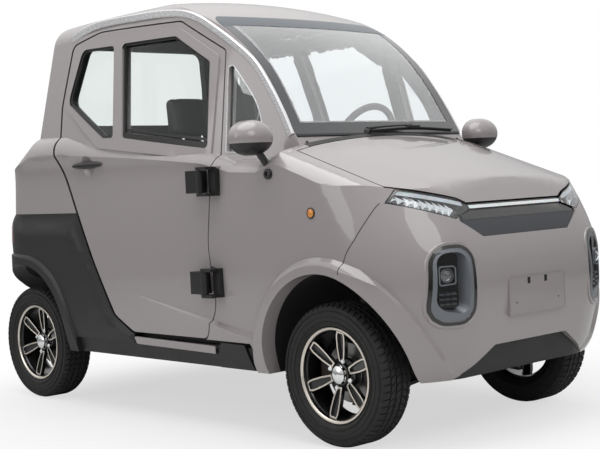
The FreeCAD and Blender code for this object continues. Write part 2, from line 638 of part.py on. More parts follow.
cladding = cladding.fuse(raised_cladding())
lower_rest = lower_shell.cut(cladding_region)
rocker = lower_rest.common(sill_region)
rocker_skin = lower_hull(-SILL_PROUD, GROUND_CLEARANCE).cut(outer_lower)
rocker = rocker.fuse(rocker_skin.common(side_prism(SILL_BLOCK, 200, FAR)))
rocker = rocker.fuse(rocker_skin.common(side_prism(SILL_STRIP, 200, FAR)))
parts['sills'] = both_sides(largest(rocker.cut(door_hole).cut(swage())))
lower_rest = lower_rest.cut(both_sides(sill_region))
cowl = lower_rest.common(cowl_region)
front_end = lower_rest.common(front_half).cut(cowl_region)
parts['rear_body'] = lower_rest.cut(front_half)
front_flare = flare(FRONT_AXLE_X)
rear_flare = flare(REAR_AXLE_X)
rear_flare = rear_flare.common(cladding_region)
fender = front_end.cut(front_region).common(left_half).fuse(front_flare.cut(front_region))
for z in DOOR_HINGE_HEIGHTS:
    fender = fender.fuse(hinge_leaf(z))
parts['fender_l'] = fender
parts['fender_r'] = mirrored(fender)
parts['rear_cladding'] = cladding.fuse(rear_flare).fuse(mirrored(rear_flare))

# Front bumper with the lamps and panels set into it
bumper = front_end.common(front_region).fuse(both_sides(front_flare.common(front_region)))
lamp_prism = both_sides(front_prism(tuple((-y, z, r) for y, z, r in HEADLAMP)[::-1], 950, 1400))
strip_prism = front_prism(LIGHT_STRIP, 950, 1400)
pod_outline = tuple((-y, z, r) for y, z, r in LAMP_POD)[::-1]
pod_prism = both_sides(front_prism(pod_outline, 950, 1400))
grille_prism = front_prism(GRILLE_PANEL, 950, 1400)
intake_prism = front_prism(LOWER_INTAKE, 950, 1400)
front_wall = bumper
headlamps = front_wall.common(lamp_prism).fuse(front_wall.common(strip_prism))
pod_box = pod_prism.common(lower_hull(0.0, 180.0)).common(box(POD_BACK_X, 1400, -FAR, FAR, 0, 900))
floor_outline = tuple((-y, z, r) for y, z, r in POD_FLOOR)[::-1]
pocket = Part.makeLoft([outline_wire(floor_outline, lambda u, v: V(POD_FLOOR_X, u, v)),
                        outline_wire(pod_outline, lambda u, v: V(POD_MOUTH_X, u, v), POD_RIM)], True, True)
pods = pod_box.cut(both_sides(pocket))
for side in (-1, 1):
    lens = Part.makeSphere(34.0, V(POD_FLOOR_X - 14, side * POD_LENS_Y, POD_LENS_Z))
    lens = lens.common(box(POD_FLOOR_X - 2, POD_FLOOR_X + 40, -FAR, FAR, 0, 1000))
    bezel = box(POD_FLOOR_X - 2, POD_FLOOR_X + 10, side * POD_LENS_Y - 38, side * POD_LENS_Y + 38,
                POD_LENS_Z - 40, POD_LENS_Z + 40)
    pods = pods.fuse(bezel.fuse(lens))
grille = front_wall.common(grille_prism).cut(lower_hull(-1.0, 180.0).cut(lower_hull(6.0, 180.0)))
intake = front_wall.common(intake_prism).cut(lower_hull(-1.0, 180.0).cut(lower_hull(24.0, 180.0)))
for prism in (lamp_prism, strip_prism, pod_prism, grille_prism, intake_prism):
    bumper = bumper.cut(prism)
plate = front_prism(PLATE_HOLDER, PLATE_FACE_X - 34.0, PLATE_FACE_X)
bumper = bumper.fuse(plate)
for y in (-PLATE_HOLE_Y, PLATE_HOLE_Y):
    bumper = bumper.cut(rod((1150, y, PLATE_HOLE_Z), (1400, y, PLATE_HOLE_Z), PLATE_HOLE_RADIUS))
parts['front_bumper'] = bumper
parts['headlamps'] = headlamps
parts['lamp_pods'] = pods
parts['grille_panels'] = Part.makeCompound([grille, intake])

lamp_space = box(-1400, -1120, TAILGATE_HALF_WIDTH + 8, FAR, 700, 780).cut(lower_hull(0.0, 180.0))
lamp_body = box(-1399, -1120 - SEAT_CLEARANCE, TAILGATE_HALF_WIDTH + 8 + SEAT_CLEARANCE, FAR,
                700 + SEAT_CLEARANCE, 780 - SEAT_CLEARANCE)
tail_lamp = lower_hull(-TAIL_LAMP_PROUD, 180.0).cut(lower_hull(-SEAT_CLEARANCE, 180.0)).common(lamp_body)
parts['tail_lamps'] = both_sides(tail_lamp)
parts['rear_cladding'] = parts['rear_cladding'].cut(both_sides(lamp_space))

# Floor, bulkhead and wheel housings
floor_space = inner_lower.cut(all_wheel_spaces(ARCH_RADIUS + LINER_THICKNESS,
                                               ARCH_INNER_Y - LINER_THICKNESS))
floor_top = GROUND_CLEARANCE + FLOOR_THICKNESS
floor = floor_space.common(box(REAR_FLOOR_X, 1400, -FAR, FAR, GROUND_CLEARANCE, floor_top))
riser = floor_space.common(box(REAR_FLOOR_X, REAR_FLOOR_X + FLOOR_THICKNESS, -FAR, FAR,
                               GROUND_CLEARANCE, REAR_FLOOR_Z))
rear_floor = floor_space.common(box(-1400, REAR_FLOOR_X + FLOOR_THICKNESS, -FAR, FAR,
                                    REAR_FLOOR_Z - FLOOR_THICKNESS, REAR_FLOOR_Z))
parts['floor_pan'] = floor.fuse(riser).fuse(rear_floor).removeSplitter()
plate = floor_space.common(box(BULKHEAD_X, BULKHEAD_X + 14, -FAR, FAR, floor_top, 1100))
pads = []
for y in (-300, 300):
    pad = inner_lower.translated(V(0, 0, -SEAT_CLEARANCE))
    pads.append(pad.common(box(BULKHEAD_X + 10, HOOD_REAR_X + 60, y - 22, y + 22, 940, 1100)))
parts['bulkhead'] = plate.fuse(cowl).fuse(pads[0]).fuse(pads[1])
liners = []
for axle_x in (FRONT_AXLE_X, REAR_AXLE_X):
    outer = wheel_space(axle_x, ARCH_INNER_Y - LINER_THICKNESS, FAR, ARCH_RADIUS + LINER_THICKNESS)
    liner = outer.common(inner_lower).cut(wheel_space(axle_x, ARCH_INNER_Y, FAR)).cut(below_floor)
    if axle_x == REAR_AXLE_X:
        liner = liner.cut(rod((axle_x, 200, WHEEL_RADIUS), (axle_x, 400, WHEEL_RADIUS), 44))
    liners.append(liner)
    liners.append(mirrored(liner))
parts['arch_liners'] = Part.makeCompound(liners)


def chassis():
    """Two box rails under the floor, kicked up over the rear axle, with cross members."""
    rear_top = REAR_FLOOR_Z - FLOOR_THICKNESS
    outline = ((-1210, 372, 0), (-880, 372, 0), (-850, FRAME_FOOT_Z, 0), (FRAME_FRONT_X, FRAME_FOOT_Z, 0),
               (FRAME_FRONT_X, GROUND_CLEARANCE, 0), (-802, GROUND_CLEARANCE, 0), (-832, rear_top, 0),
               (-1210, rear_top, 0))
    rail = side_prism(outline, RAIL_INNER_Y, RAIL_INNER_Y + 50)
    frame = rail.fuse(mirrored(rail))
    for x, z in ((FRAME_FRONT_X - 50, FRAME_FOOT_Z), (560, FRAME_FOOT_Z), (-100, FRAME_FOOT_Z),
                 (-700, FRAME_FOOT_Z), (-1200, 374)):
        frame = frame.fuse(box(x, x + 50, -RAIL_INNER_Y - 10, RAIL_INNER_Y + 10, z, z + 40))
    return frame.removeSplitter()


parts['chassis_frame'] = chassis()


# Front suspension: struts turn about a leaning steering axis through the lower ball joint
ball_joint = V(FRONT_AXLE_X, BALL_JOINT_Y, BALL_JOINT_Z)
strut_top = V(FRONT_AXLE_X, STRUT_TOP_Y, STRUT_TOP_Z)
steer_axis = (strut_top - ball_joint)
steer_axis.normalize()


def along_strut(distance):
    return ball_joint + steer_axis * distance


def front_corner():
    """Lower arm, upper strut rod, spring seat and top mount of the left front wheel."""
    arm = None
    for dx in (-110, 110):
        piece = rod((FRONT_AXLE_X + dx, RAIL_INNER_Y + 44, 206),
                    (FRONT_AXLE_X, BALL_JOINT_Y, BALL_JOINT_Z - 28), 10)
        arm = piece if arm is None else arm.fuse(piece)
    cup = Part.makeCylinder(16, 24, along_strut(-34), steer_axis)
    bushes = [rod((FRONT_AXLE_X + s * 110 - 22, RAIL_INNER_Y + 50, 206),
                  (FRONT_AXLE_X + s * 110 + 22, RAIL_INNER_Y + 50, 206), 18) for s in (-1, 1)]
    arm = arm.fuse(cup).fuse(bushes[0]).fuse(bushes[1])
    arm = arm.cut(chassis())
    spring_start = along_strut(SPRING_START)
    length = (strut_top - ball_joint).Length
    spring = Part.makeCylinder(40, length - SPRING_START - 6, spring_start, steer_axis)
    mount = Part.makeCylinder(52, 40, along_strut(length - 14), steer_axis)
    mount = mount.common(wheel_space(FRONT_AXLE_X, 100, FAR))
    return Part.makeCompound([arm, spring.fuse(mount).common(wheel_space(FRONT_AXLE_X, 100, FAR))])


corner = front_corner()
rack = rod((FRONT_AXLE_X - 120, -240, 262), (FRONT_AXLE_X - 120, 240, 262), 20)
corner_solids = corner.Solids + mirrored(corner).Solids
rack_mounts = [box(FRONT_AXLE_X - 140, FRONT_AXLE_X - 100, s * 200 - 20, s * 200 + 20, floor_top, 290)
               for s in (-1, 1)]
rack = rack.translated(V(0, 0, 30)).fuse(rack_mounts[0]).fuse(rack_mounts[1])
parts['front_suspension'] = Part.makeCompound(corner_solids + [rack.removeSplitter()])


def knuckle():
    """Upright with the lower strut tube, the wheel spindle and the brake caliper."""
    tube_body = Part.makeCylinder(22, SPRING_START - 62, along_strut(60), steer_axis)
    upright = box(FRONT_AXLE_X - 26, FRONT_AXLE_X + 26, 434, 462, 178, 332)
    ball = Part.makeCylinder(12, 26, along_strut(SEAT_CLEARANCE - 10), steer_axis)
    foot = box(FRONT_AXLE_X - 18, FRONT_AXLE_X + 18, 440, BALL_JOINT_Y + 14, 170, 192)
    spindle = rod((FRONT_AXLE_X, 440, WHEEL_RADIUS), (FRONT_AXLE_X, 497, WHEEL_RADIUS), SPINDLE_RADIUS)
    solid = tube_body.fuse(upright).fuse(ball).fuse(foot).fuse(spindle)
    caliper = box(FRONT_AXLE_X - 130, FRONT_AXLE_X - 62, 452, 504, WHEEL_RADIUS - 34, WHEEL_RADIUS + 34)
    slot = Part.makeCylinder(DISC_RADIUS + 5, 18, V(FRONT_AXLE_X, DISC_Y - 5, WHEEL_RADIUS), V(0, 1, 0))
    link = box(FRONT_AXLE_X - 90, FRONT_AXLE_X - 10, 446, 460, WHEEL_RADIUS - 20, WHEEL_RADIUS + 20)
    return solid.fuse(caliper.cut(slot)).fuse(link).removeSplitter()


left_knuckle = knuckle()
parts['knuckle_l'] = left_knuckle
parts['knuckle_r'] = mirrored(left_knuckle)


def tyre(axle_x):
    half = TYRE_WIDTH / 2
    bead = RIM_WIDTH / 2 - 5
    outline = ((RIM_RADIUS - 8, -bead, 0.0), (RIM_RADIUS, -bead, 0.0), (RIM_RADIUS + 12, -half + 3, 6.0),
               (WHEEL_RADIUS - 40, -half, 30.0),
               (WHEEL_RADIUS - 6, -half + 8, 12.0), (WHEEL_RADIUS, -half + 30, 16.0),
               (WHEEL_RADIUS, half - 30, 16.0), (WHEEL_RADIUS - 6, half - 8, 12.0),
               (WHEEL_RADIUS - 40, half, 30.0), (RIM_RADIUS + 12, half - 3, 6.0), (RIM_RADIUS, bead, 0.0),
               (RIM_RADIUS - 8, bead, 0.0))
    return turned(outline, (axle_x, WHEEL_CENTRE_Y, WHEEL_RADIUS), 'y')


def spoke():
    """One spoke along +X: a waisted plate on the wheel's dished face, with a pocket in it."""
    outline = tuple((r, -w, 0.0) for r, w in SPOKE_PLATE)
    outline += tuple((r, w, 0.0) for r, w in SPOKE_PLATE[::-1])
    plate = Part.Face(outline_wire(outline, lambda r, t: V(r, -40.0, t))).extrude(V(0, 110, 0))
    pocket = Part.Face(outline_wire(outline, lambda r, t: V(r, -40.0, t), SPOKE_BORDER)).extrude(V(0, 110, 0))
    inner, outer = SPOKE_PLATE[0][0] - 10.0, SPOKE_PLATE[-1][0] + 10.0
    low, high = DISH_HUB_Y, DISH_RIM_Y
    body = ((inner, low - SPOKE_DEPTH, 0.0), (outer, high - SPOKE_DEPTH, 0.0), (outer, high, 0.0),
            (inner, low, 0.0))
    floor = ((inner, low - POCKET_DEPTH, 0.0), (outer, high - POCKET_DEPTH, 0.0), (outer, high + 20.0, 0.0),
             (inner, low + 20.0, 0.0))
    plate = plate.common(turned(body, (0, 0, 0), 'y'))
    return plate.cut(pocket.common(turned(floor, (0, 0, 0), 'y')))


def rim(axle_x, bore):
    """Alloy wheel: barrel, hub, spokes, cap and nuts, with the brake disc on its back."""
    centre = V(axle_x, WHEEL_CENTRE_Y, WHEEL_RADIUS)
    half = RIM_WIDTH / 2
    outline = ((RIM_RADIUS - 22, -half, 0.0), (RIM_RADIUS - 2, -half, 3.0), (RIM_RADIUS - 2, -half + 5, 0.0),
               (RIM_RADIUS - 8, -half + 5, 0.0), (RIM_RADIUS - 8, half - 5, 0.0), (RIM_RADIUS - 2, half - 5, 0.0),
               (RIM_RADIUS - 2, half, 3.0), (RIM_RADIUS - 10, half, 3.0), (RIM_RADIUS - 15, half - 14, 0.0),
               (RIM_RADIUS - 22, half - 22, 0.0))
    solid = turned(outline, (0, 0, 0), 'y')
    hub_back = HUB_FACE_Y - WHEEL_CENTRE_Y
    hub = ((0.0, hub_back, 0.0), (HUB_RADIUS, hub_back, 0.0), (HUB_RADIUS, hub_back + 20.0, 4.0),
           (CAP_RADIUS + 8.0, hub_back + 28.0, 0.0), (CAP_RADIUS + 4.0, DISH_HUB_Y + 2.0, 0.0),
           (0.0, DISH_HUB_Y + 2.0, 0.0))
    solid = solid.fuse(turned(hub, (0, 0, 0), 'y'))
    arm = spoke()
    for index in range(SPOKES):
        copy = arm.copy()
        copy.rotate(V(0, 0, 0), V(0, 1, 0), SPOKE_START + index * 360.0 / SPOKES)
        solid = solid.fuse(copy)
    disc_back = DISC_Y - WHEEL_CENTRE_Y
    solid = solid.fuse(Part.makeCylinder(DISC_RADIUS, DISC_THICKNESS, V(0, disc_back, 0), V(0, 1, 0)))
    solid = solid.fuse(Part.makeCylinder(BELL_RADIUS, hub_back - disc_back, V(0, disc_back, 0), V(0, 1, 0)))
    cap = Part.makeCylinder(CAP_RADIUS, CAP_HEIGHT, V(0, DISH_HUB_Y, 0), V(0, 1, 0))
    dome = Part.makeSphere(CAP_DOME_RADIUS, V(0, DISH_HUB_Y + CAP_HEIGHT + 4.0 - CAP_DOME_RADIUS, 0))
    solid = solid.fuse(cap.common(dome))
    for index in range(NUTS):
        angle = math.radians(NUT_START + 360.0 / NUTS * index)
        foot = V(NUT_CIRCLE * math.cos(angle), hub_back + 18.0, NUT_CIRCLE * math.sin(angle))
        solid = solid.fuse(Part.makeCylinder(NUT_RADIUS, NUT_HEIGHT, foot, V(0, 1, 0)))
    solid = solid.cut(Part.makeCylinder(bore, 60.0, V(0, -72.0, 0), V(0, 1, 0)))
    solid.translate(centre)
    return solid


for end, axle_x in (('f', FRONT_AXLE_X), ('r', REAR_AXLE_X)):
    left_tyre = tyre(axle_x)
    left_rim = rim(axle_x, SPINDLE_RADIUS + SPINDLE_CLEARANCE)
    parts['tyre_' + end + 'l'] = left_tyre
    parts['tyre_' + end + 'r'] = mirrored(left_tyre)
    parts['rim_' + end + 'l'] = left_rim
    parts['rim_' + end + 'r'] = mirrored(left_rim)


def rear_axle():
    """Rigid rear axle with its motor and gearbox, coil springs and dampers to the rails."""
    beam = rod((REAR_AXLE_X, -497, WHEEL_RADIUS), (REAR_AXLE_X, 497, WHEEL_RADIUS), SPINDLE_RADIUS)
    casing = rod((REAR_AXLE_X, -440, WHEEL_RADIUS), (REAR_AXLE_X, 440, WHEEL_RADIUS), 34)
    drums = rod((REAR_AXLE_X, 440, WHEEL_RADIUS), (REAR_AXLE_X, 462, WHEEL_RADIUS), 62)
    gearbox = rod((REAR_AXLE_X, -60, WHEEL_RADIUS), (REAR_AXLE_X, 60, WHEEL_RADIUS), 92)
    motor = rod((REAR_AXLE_X + 130, -30, WHEEL_RADIUS + 30), (REAR_AXLE_X + 130, 170, WHEEL_RADIUS + 30), 78)
    neck = box(REAR_AXLE_X, REAR_AXLE_X + 130, -50, 50, WHEEL_RADIUS - 30, WHEEL_RADIUS + 60)
    solid = beam.fuse(casing).fuse(drums).fuse(mirrored(drums)).fuse(gearbox).fuse(motor).fuse(neck)
    for side in (-1, 1):
        spring = rod((REAR_AXLE_X, side * 235, WHEEL_RADIUS), (REAR_AXLE_X, side * 235, 372), 38)
        solid = solid.fuse(spring)
    return solid.removeSplitter()


parts['rear_axle'] = rear_axle()


# Cabin
def seat(y):
    """One front seat: a cushion and a leaning backrest with its headrest."""
    cushion = box(-200, 240, y - 215, y + 215, BATTERY_TOP_Z, 590)
    cushion = cushion.makeFillet(40, [e for e in cushion.Edges if abs(e.tangentAt(e.FirstParameter).y) < 0.1
                                      and e.CenterOfMass.z > 500 and e.Length > 100])
    outline = ((-210, 470, 30), (-110, 470, 30), (-215, 1090, 40), (-290, 1100, 30))
    back = side_prism(outline, y - 205, y + 205)
    head_outline = ((-300, 1120, 30), (-225, 1120, 30), (-245, 1300, 30), (-320, 1300, 30))
    head = side_prism(head_outline, y - 115, y + 115)
    posts = [rod((-245, y + s * 50, 1060), (-265, y + s * 50, 1180), 7) for s in (-1, 1)]
    return cushion.fuse(back).fuse(head).fuse(posts[0]).fuse(posts[1]).removeSplitter()


parts['front_seats'] = Part.makeCompound([seat(-SEAT_Y), seat(SEAT_Y)])
bench = box(-712, -440, -400, 400, floor_top, 500).fuse(box(-745, -420, -430, 430, 500, 600))
bench_back = side_prism(((-800, 530, 20), (-712, 530, 20), (-775, 1040, 40), (-855, 1040, 30)), -430, 430)
parts['rear_bench'] = bench.fuse(bench_back).removeSplitter()
parts['battery_pack'] = box(-300, 200, -430, 430, floor_top, BATTERY_TOP_Z)

cabin_space = lower_body(WALL + 10.0, 180.0).fuse(greenhouse(WALL + 10.0))
dash_outline = ((470, 700, 40), (BULKHEAD_X, 700, 0), (BULKHEAD_X, 1020, 0), (520, 1024, 30),
                (430, 990, 50), (440, 860, 40))
dash = side_prism(dash_outline, -540, 540).common(cabin_space)
column_axis = V(-math.cos(math.radians(COLUMN_TILT)), 0, math.sin(math.radians(COLUMN_TILT)))
wheel_hub = V(*STEERING_WHEEL_CENTRE)
column_foot = wheel_hub - column_axis * COLUMN_LENGTH
column = Part.makeCylinder(24, COLUMN_LENGTH - WHEEL_HUB_DEPTH - SEAT_CLEARANCE, column_foot, column_axis)
parts['dashboard'] = largest(dash.fuse(column))


def steering_wheel():
    rim_ring = Part.makeTorus(STEERING_WHEEL_RADIUS - 14, 14, wheel_hub, column_axis)
    hub = Part.makeCylinder(46, WHEEL_HUB_DEPTH + 12, wheel_hub - column_axis * WHEEL_HUB_DEPTH, column_axis)
    solid = rim_ring.fuse(hub)
    right = V(0, 1, 0)
    down = column_axis.cross(right)
    for angle in (0, 180, 270):
        a = math.radians(angle)
        direction = right * math.cos(a) - down * math.sin(a)
        solid = solid.fuse(Part.makeCylinder(11, STEERING_WHEEL_RADIUS - 20, wheel_hub, direction))
    return solid.removeSplitter()


parts['steering_wheel'] = steering_wheel()


def oval_edges(share):
    """Upper and lower arcs of an upright oval across the car, whose ends are cut square."""
    half, radius = MIRROR_HALF_WIDTH * share, MIRROR_RADIUS * share
    oval = Part.Ellipse(V(0, half, 0), V(0, 0, radius), V(0, 0, 0))
    upper = Part.ArcOfEllipse(oval, MIRROR_END_ANGLE, math.pi - MIRROR_END_ANGLE).toShape()
    lower = Part.ArcOfEllipse(oval, math.pi + MIRROR_END_ANGLE, 2 * math.pi - MIRROR_END_ANGLE).toShape()
    return upper, lower, half * math.cos(MIRROR_END_ANGLE), radius * math.sin(MIRROR_END_ANGLE)


def oval_prism(share, length):
    upper, lower, y, z = oval_edges(share)
    ends = [Part.makeLine(V(0, -y, z), V(0, -y, -z)), Part.makeLine(V(0, y, -z), V(0, y, z))]
    return Part.Face(Part.Wire([upper, ends[0], lower, ends[1]])).extrude(V(-length, 0, 0))


def mirror_unit():
    """Door mirror: half an egg with an oval rim behind it, a recess for its glass, and a footed arm."""
    upper, lower, y, z = oval_edges(1.0)
    closing = Part.makePolygon([V(0, -y, z), V(0, -y, 0), V(0, y, 0), V(0, y, z)])
    front = Part.Face(Part.Wire([upper] + closing.Edges)).revolve(V(0, 0, 0), V(0, 1, 0), 180)
    recess = oval_prism(MIRROR_GLASS_SHARE, MIRROR_BACK)
    recess.translate(V(MIRROR_RECESS - MIRROR_BACK, 0, 0))
    housing = front.fuse(oval_prism(1.0, MIRROR_BACK)).cut(recess)
    housing.translate(V(MIRROR_X, MIRROR_Y, MIRROR_Z))
    arm = tube(((MIRROR_X + 15, 562, 945), (MIRROR_X + 18, 590, 985),
                (MIRROR_X + 8, MIRROR_Y - 12, MIRROR_Z - 40)), 13)
    foot = Part.makeCylinder(30, 46, V(MIRROR_X + 18, 572, 925), V(0.05, 1, 0.12))
    return largest(housing.fuse(arm).fuse(foot).cut(outer_lower))


parts['mirrors'] = both_sides(mirror_unit())


def wiper():
    pivot = V(622, -100, 1045)
    boss = Part.makeCylinder(16, 62, pivot)
    arm = rod((622, -100, 1100), (645, 130, 1112), 7)
    blade = rod((650, -110, 1100), (640, 375, 1100), 8)
    return boss.fuse(arm).fuse(blade)


wiper_shape = wiper().cut(outer_body)
parts['wiper'] = wiper_shape

os.makedirs("parts", exist_ok=True)
for name, shape in parts.items():
    shape.exportStep("parts/" + name + ".step")
    print(name, shape.isValid(), len(shape.Solids), round(shape.Volume / 1e6, 2))
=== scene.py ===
"""Looks of a small two-door electric car: paint, glass, trim, wheels, lamps and cabin, built round its solids."""
import json
import math
from functools import partial

import bmesh
import bpy
from mathutils import Matrix, Vector
from mathutils.bvhtree import BVHTree

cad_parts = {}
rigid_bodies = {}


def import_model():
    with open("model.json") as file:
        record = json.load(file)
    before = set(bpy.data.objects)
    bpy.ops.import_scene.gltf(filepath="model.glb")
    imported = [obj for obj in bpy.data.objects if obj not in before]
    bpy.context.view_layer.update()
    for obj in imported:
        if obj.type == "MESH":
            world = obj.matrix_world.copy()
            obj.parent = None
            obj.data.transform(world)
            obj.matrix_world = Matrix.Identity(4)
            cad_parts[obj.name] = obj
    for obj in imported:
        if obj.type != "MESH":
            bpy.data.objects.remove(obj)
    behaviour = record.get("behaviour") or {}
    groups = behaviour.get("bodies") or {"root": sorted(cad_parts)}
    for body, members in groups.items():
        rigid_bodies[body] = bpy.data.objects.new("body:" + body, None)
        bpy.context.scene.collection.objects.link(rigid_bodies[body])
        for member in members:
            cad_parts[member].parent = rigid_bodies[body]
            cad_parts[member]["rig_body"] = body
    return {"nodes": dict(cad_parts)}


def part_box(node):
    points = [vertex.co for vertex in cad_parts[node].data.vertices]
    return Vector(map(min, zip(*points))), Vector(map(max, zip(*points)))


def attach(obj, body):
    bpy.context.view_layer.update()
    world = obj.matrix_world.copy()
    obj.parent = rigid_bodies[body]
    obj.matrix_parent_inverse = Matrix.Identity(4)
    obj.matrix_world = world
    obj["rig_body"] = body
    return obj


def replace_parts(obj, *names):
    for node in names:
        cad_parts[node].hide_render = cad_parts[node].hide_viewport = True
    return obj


bl_info = {
    "name": "Electric City Car",
    "version": (1, 0, 0),
    "blender": (4, 5, 0),
    "location": "3D View > Sidebar > City Car",
    "description": "Dresses a small two-door electric car with its finishes, trim, wheels, lamps and cabin",
    "category": "Object",
}

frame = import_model()
NODES = frame["nodes"]
WHEEL_BODIES = {"fl": "wheel_front_left", "fr": "wheel_front_right",
                "rl": "wheel_rear_left", "rr": "wheel_rear_right"}
DOOR_BODIES = {1: "door_left", -1: "door_right"}
LETTERS = {1: "l", -1: "r"}
QUARTER_TURN = math.pi / 2
SOFT_EDGE = 0.0012

# The greenhouse side, a cone bent in plan, in metres: the glass and trim of the doors lie on it
BELT_Z = 1.100
BELT_HALF_WIDTH = 0.605
TUMBLEHOME = 0.21
SIDE_PLAN_RADIUS = 3.340
SIDE_PLAN_CENTRE_X = -0.370

CABIN_MIDDLE = Vector((-0.15, 0.0, 1.12))
FACING_CABIN = 0.3

# Camera fitted to the photograph, whose frame is 600 by 449
PHOTO_WIDTH = 600.0
SENSOR_WIDTH = 36.0
FOCAL_PIXELS = 1279.0
CAMERA_PLACE = (3.978, -3.626, 0.935)
CAMERA_AZIMUTH = 46.79
CAMERA_PITCH = 2.11
CAMERA_ROLL = 2.74
AMBIENT_LIGHT = 0.30
# What gloss and metal see: the light of ground and sky, and the heights between which one turns into the other
GROUND_LIGHT, SKY_LIGHT = 0.13, 1.15
GROUND_HEIGHT, SKY_HEIGHT = -0.12, 0.62
# The floor's shadow is faded at the middle of the car already, and gone at a distance from it
SHADOW_FADE = 0.62
FADE_START, FADE_END = 0.8, 2.1
FLOOR_RADIUS = 6.0
# Columns: name, place, target, diameter, power
LAMPS = (("overhead", (0.3, -0.6, 4.6), (0.0, 0.0, 0.6), 4.4, 128.0),
         ("key", (4.2, -1.2, 3.0), (0.3, 0.0, 0.8), 2.2, 34.0),
         ("fill", (-1.0, -4.6, 2.4), (0.0, 0.0, 0.7), 2.6, 30.0))


def rectangle(low, high, radius):
    """Outline of a rectangle with rounded corners between two corners."""
    return ((high[0], low[1], radius), (high[0], high[1], radius), (low[0], high[1], radius),
            (low[0], low[1], radius))


# Outlines of the side view in metres. Columns: X, Z, corner radius
REAR_WINDOW = ((-0.400, 1.133, 0.025), (-0.323, 1.131, 0.012), (-0.393, 1.514, 0.020),
               (-0.640, 1.522, 0.045), (-0.714, 1.297, 0.045))
FRONT_WINDOW = ((-0.262, 1.128, 0.015), (0.231, 1.060, 0.015), (0.194, 1.394, 0.020), (-0.004, 1.511, 0.020),
                (-0.336, 1.516, 0.020))
QUARTER_WINDOW = ((0.318, 1.042, 0.012), (0.492, 1.036, 0.014), (0.440, 1.210, 0.320), (0.282, 1.392, 0.012))

# Lines of the side view in metres. Columns: X, Z. The seam runs from the headlamp to the wheel arch
RAIL_LINE = ((0.592, 1.088), (0.545, 1.170), (0.480, 1.268), (0.400, 1.3675), (0.300, 1.4475), (0.200, 1.513),
             (0.110, 1.565), (0.020, 1.597), (-0.100, 1.611), (-0.250, 1.6155), (-0.500, 1.619), (-0.640, 1.606),
             (-0.755, 1.583))
FENDER_SEAM = ((1.0830, 0.8365), (1.0739, 0.8221), (1.0541, 0.7808), (1.0215, 0.7231), (0.9863, 0.6733),
               (0.9700, 0.6304), (0.9670, 0.6050))
SEAM_OUTWARD = (0.45, 0.87, 0.20)

# Zones of faces that get a second finish: limits of X, of the distance from the middle plane, and of Z
HINGE_LEAVES = tuple(((0.27, 0.348), (0.6135, 0.70), (z - 0.056, z + 0.056)) for z in (0.936, 0.560))
SILL_STRIP = ((-0.26, 0.2665), (0.5985, 0.70), (0.284, 0.330))
LOWER_INTAKE = (None, None, (0.0, 0.6))
MIRROR_SEAM_Z = 1.064
MIRROR_SHELL = (None, None, (0.0, MIRROR_SEAM_Z))
QUARTER_PANES = (None, (0.47, 0.80), None)

# Outlines of the front view in metres, of the left half where there are two. Columns: Y, Z, corner radius
HEADLAMP = ((0.533, 0.8375, 0.004), (0.494, 0.8815, 0.004), (0.300, 0.836, 0.004), (0.262, 0.818, 0.002),
            (0.262, 0.797, 0.002), (0.344, 0.772, 0.012))
SCREEN_BORDER = ((-0.4580, 1.091, 0.010), (0.4580, 1.091, 0.010), (0.4490, 1.350, 0.0), (0.4575, 1.575, 0.050),
                 (-0.4575, 1.575, 0.050), (-0.4490, 1.350, 0.0))
LAMP_POD = ((0.338, 0.437, 0.050), (0.485, 0.437, 0.055), (0.466, 0.678, 0.060), (0.334, 0.678, 0.045))
LIGHT_STRIP = rectangle((-0.2615, 0.7975), (0.2615, 0.8175), 0.001)
LIGHT_BAR = rectangle((-0.258, 0.8030), (0.258, 0.8135), 0.001)
LIGHT_GUIDE = ((0.497, 0.8765, 0.002), (0.285, 0.8255, 0.002), (0.285, 0.8115, 0.002), (0.508, 0.8640, 0.002))
UPPER_GRILLE = ((-0.3330, 0.7670, 0.001), (0.3330, 0.7670, 0.001), (0.3410, 0.7722, 0.001),
                (0.2610, 0.7962, 0.001), (-0.2610, 0.7962, 0.001), (-0.3410, 0.7722, 0.001))
PLATE_RIM = rectangle((-0.159, 0.429), (0.159, 0.560), 0.011)
POD_INSERT = ((-0.041, -0.107, 0.014), (0.044, -0.107, 0.020), (0.044, 0.075, 0.022), (-0.041, 0.075, 0.016))
PROJECTOR_FRAME = ((-0.031, -0.030, 0.010), (0.031, -0.034, 0.010), (0.031, 0.032, 0.012), (-0.031, 0.032, 0.012))

FRIT_WIDTH = 0.043
SHADE_BAND_Z = 1.522
SCREEN_SEAL_Z = 1.0865
SCREEN_SEAL_REACH = 0.455
SCREEN_NORMAL = Vector((0.85, 0.0, 0.53))
WASHER_NOZZLE = (0.422, 1.0605)
FACET_START, FACET_END, FACETS = 0.325, 0.512, 9
FACET_SHARE = 0.94
FACET_TIP_SHARE = 0.3
FACET_BASE_LIFT, FACET_TIP_LIFT = -0.026, -0.010
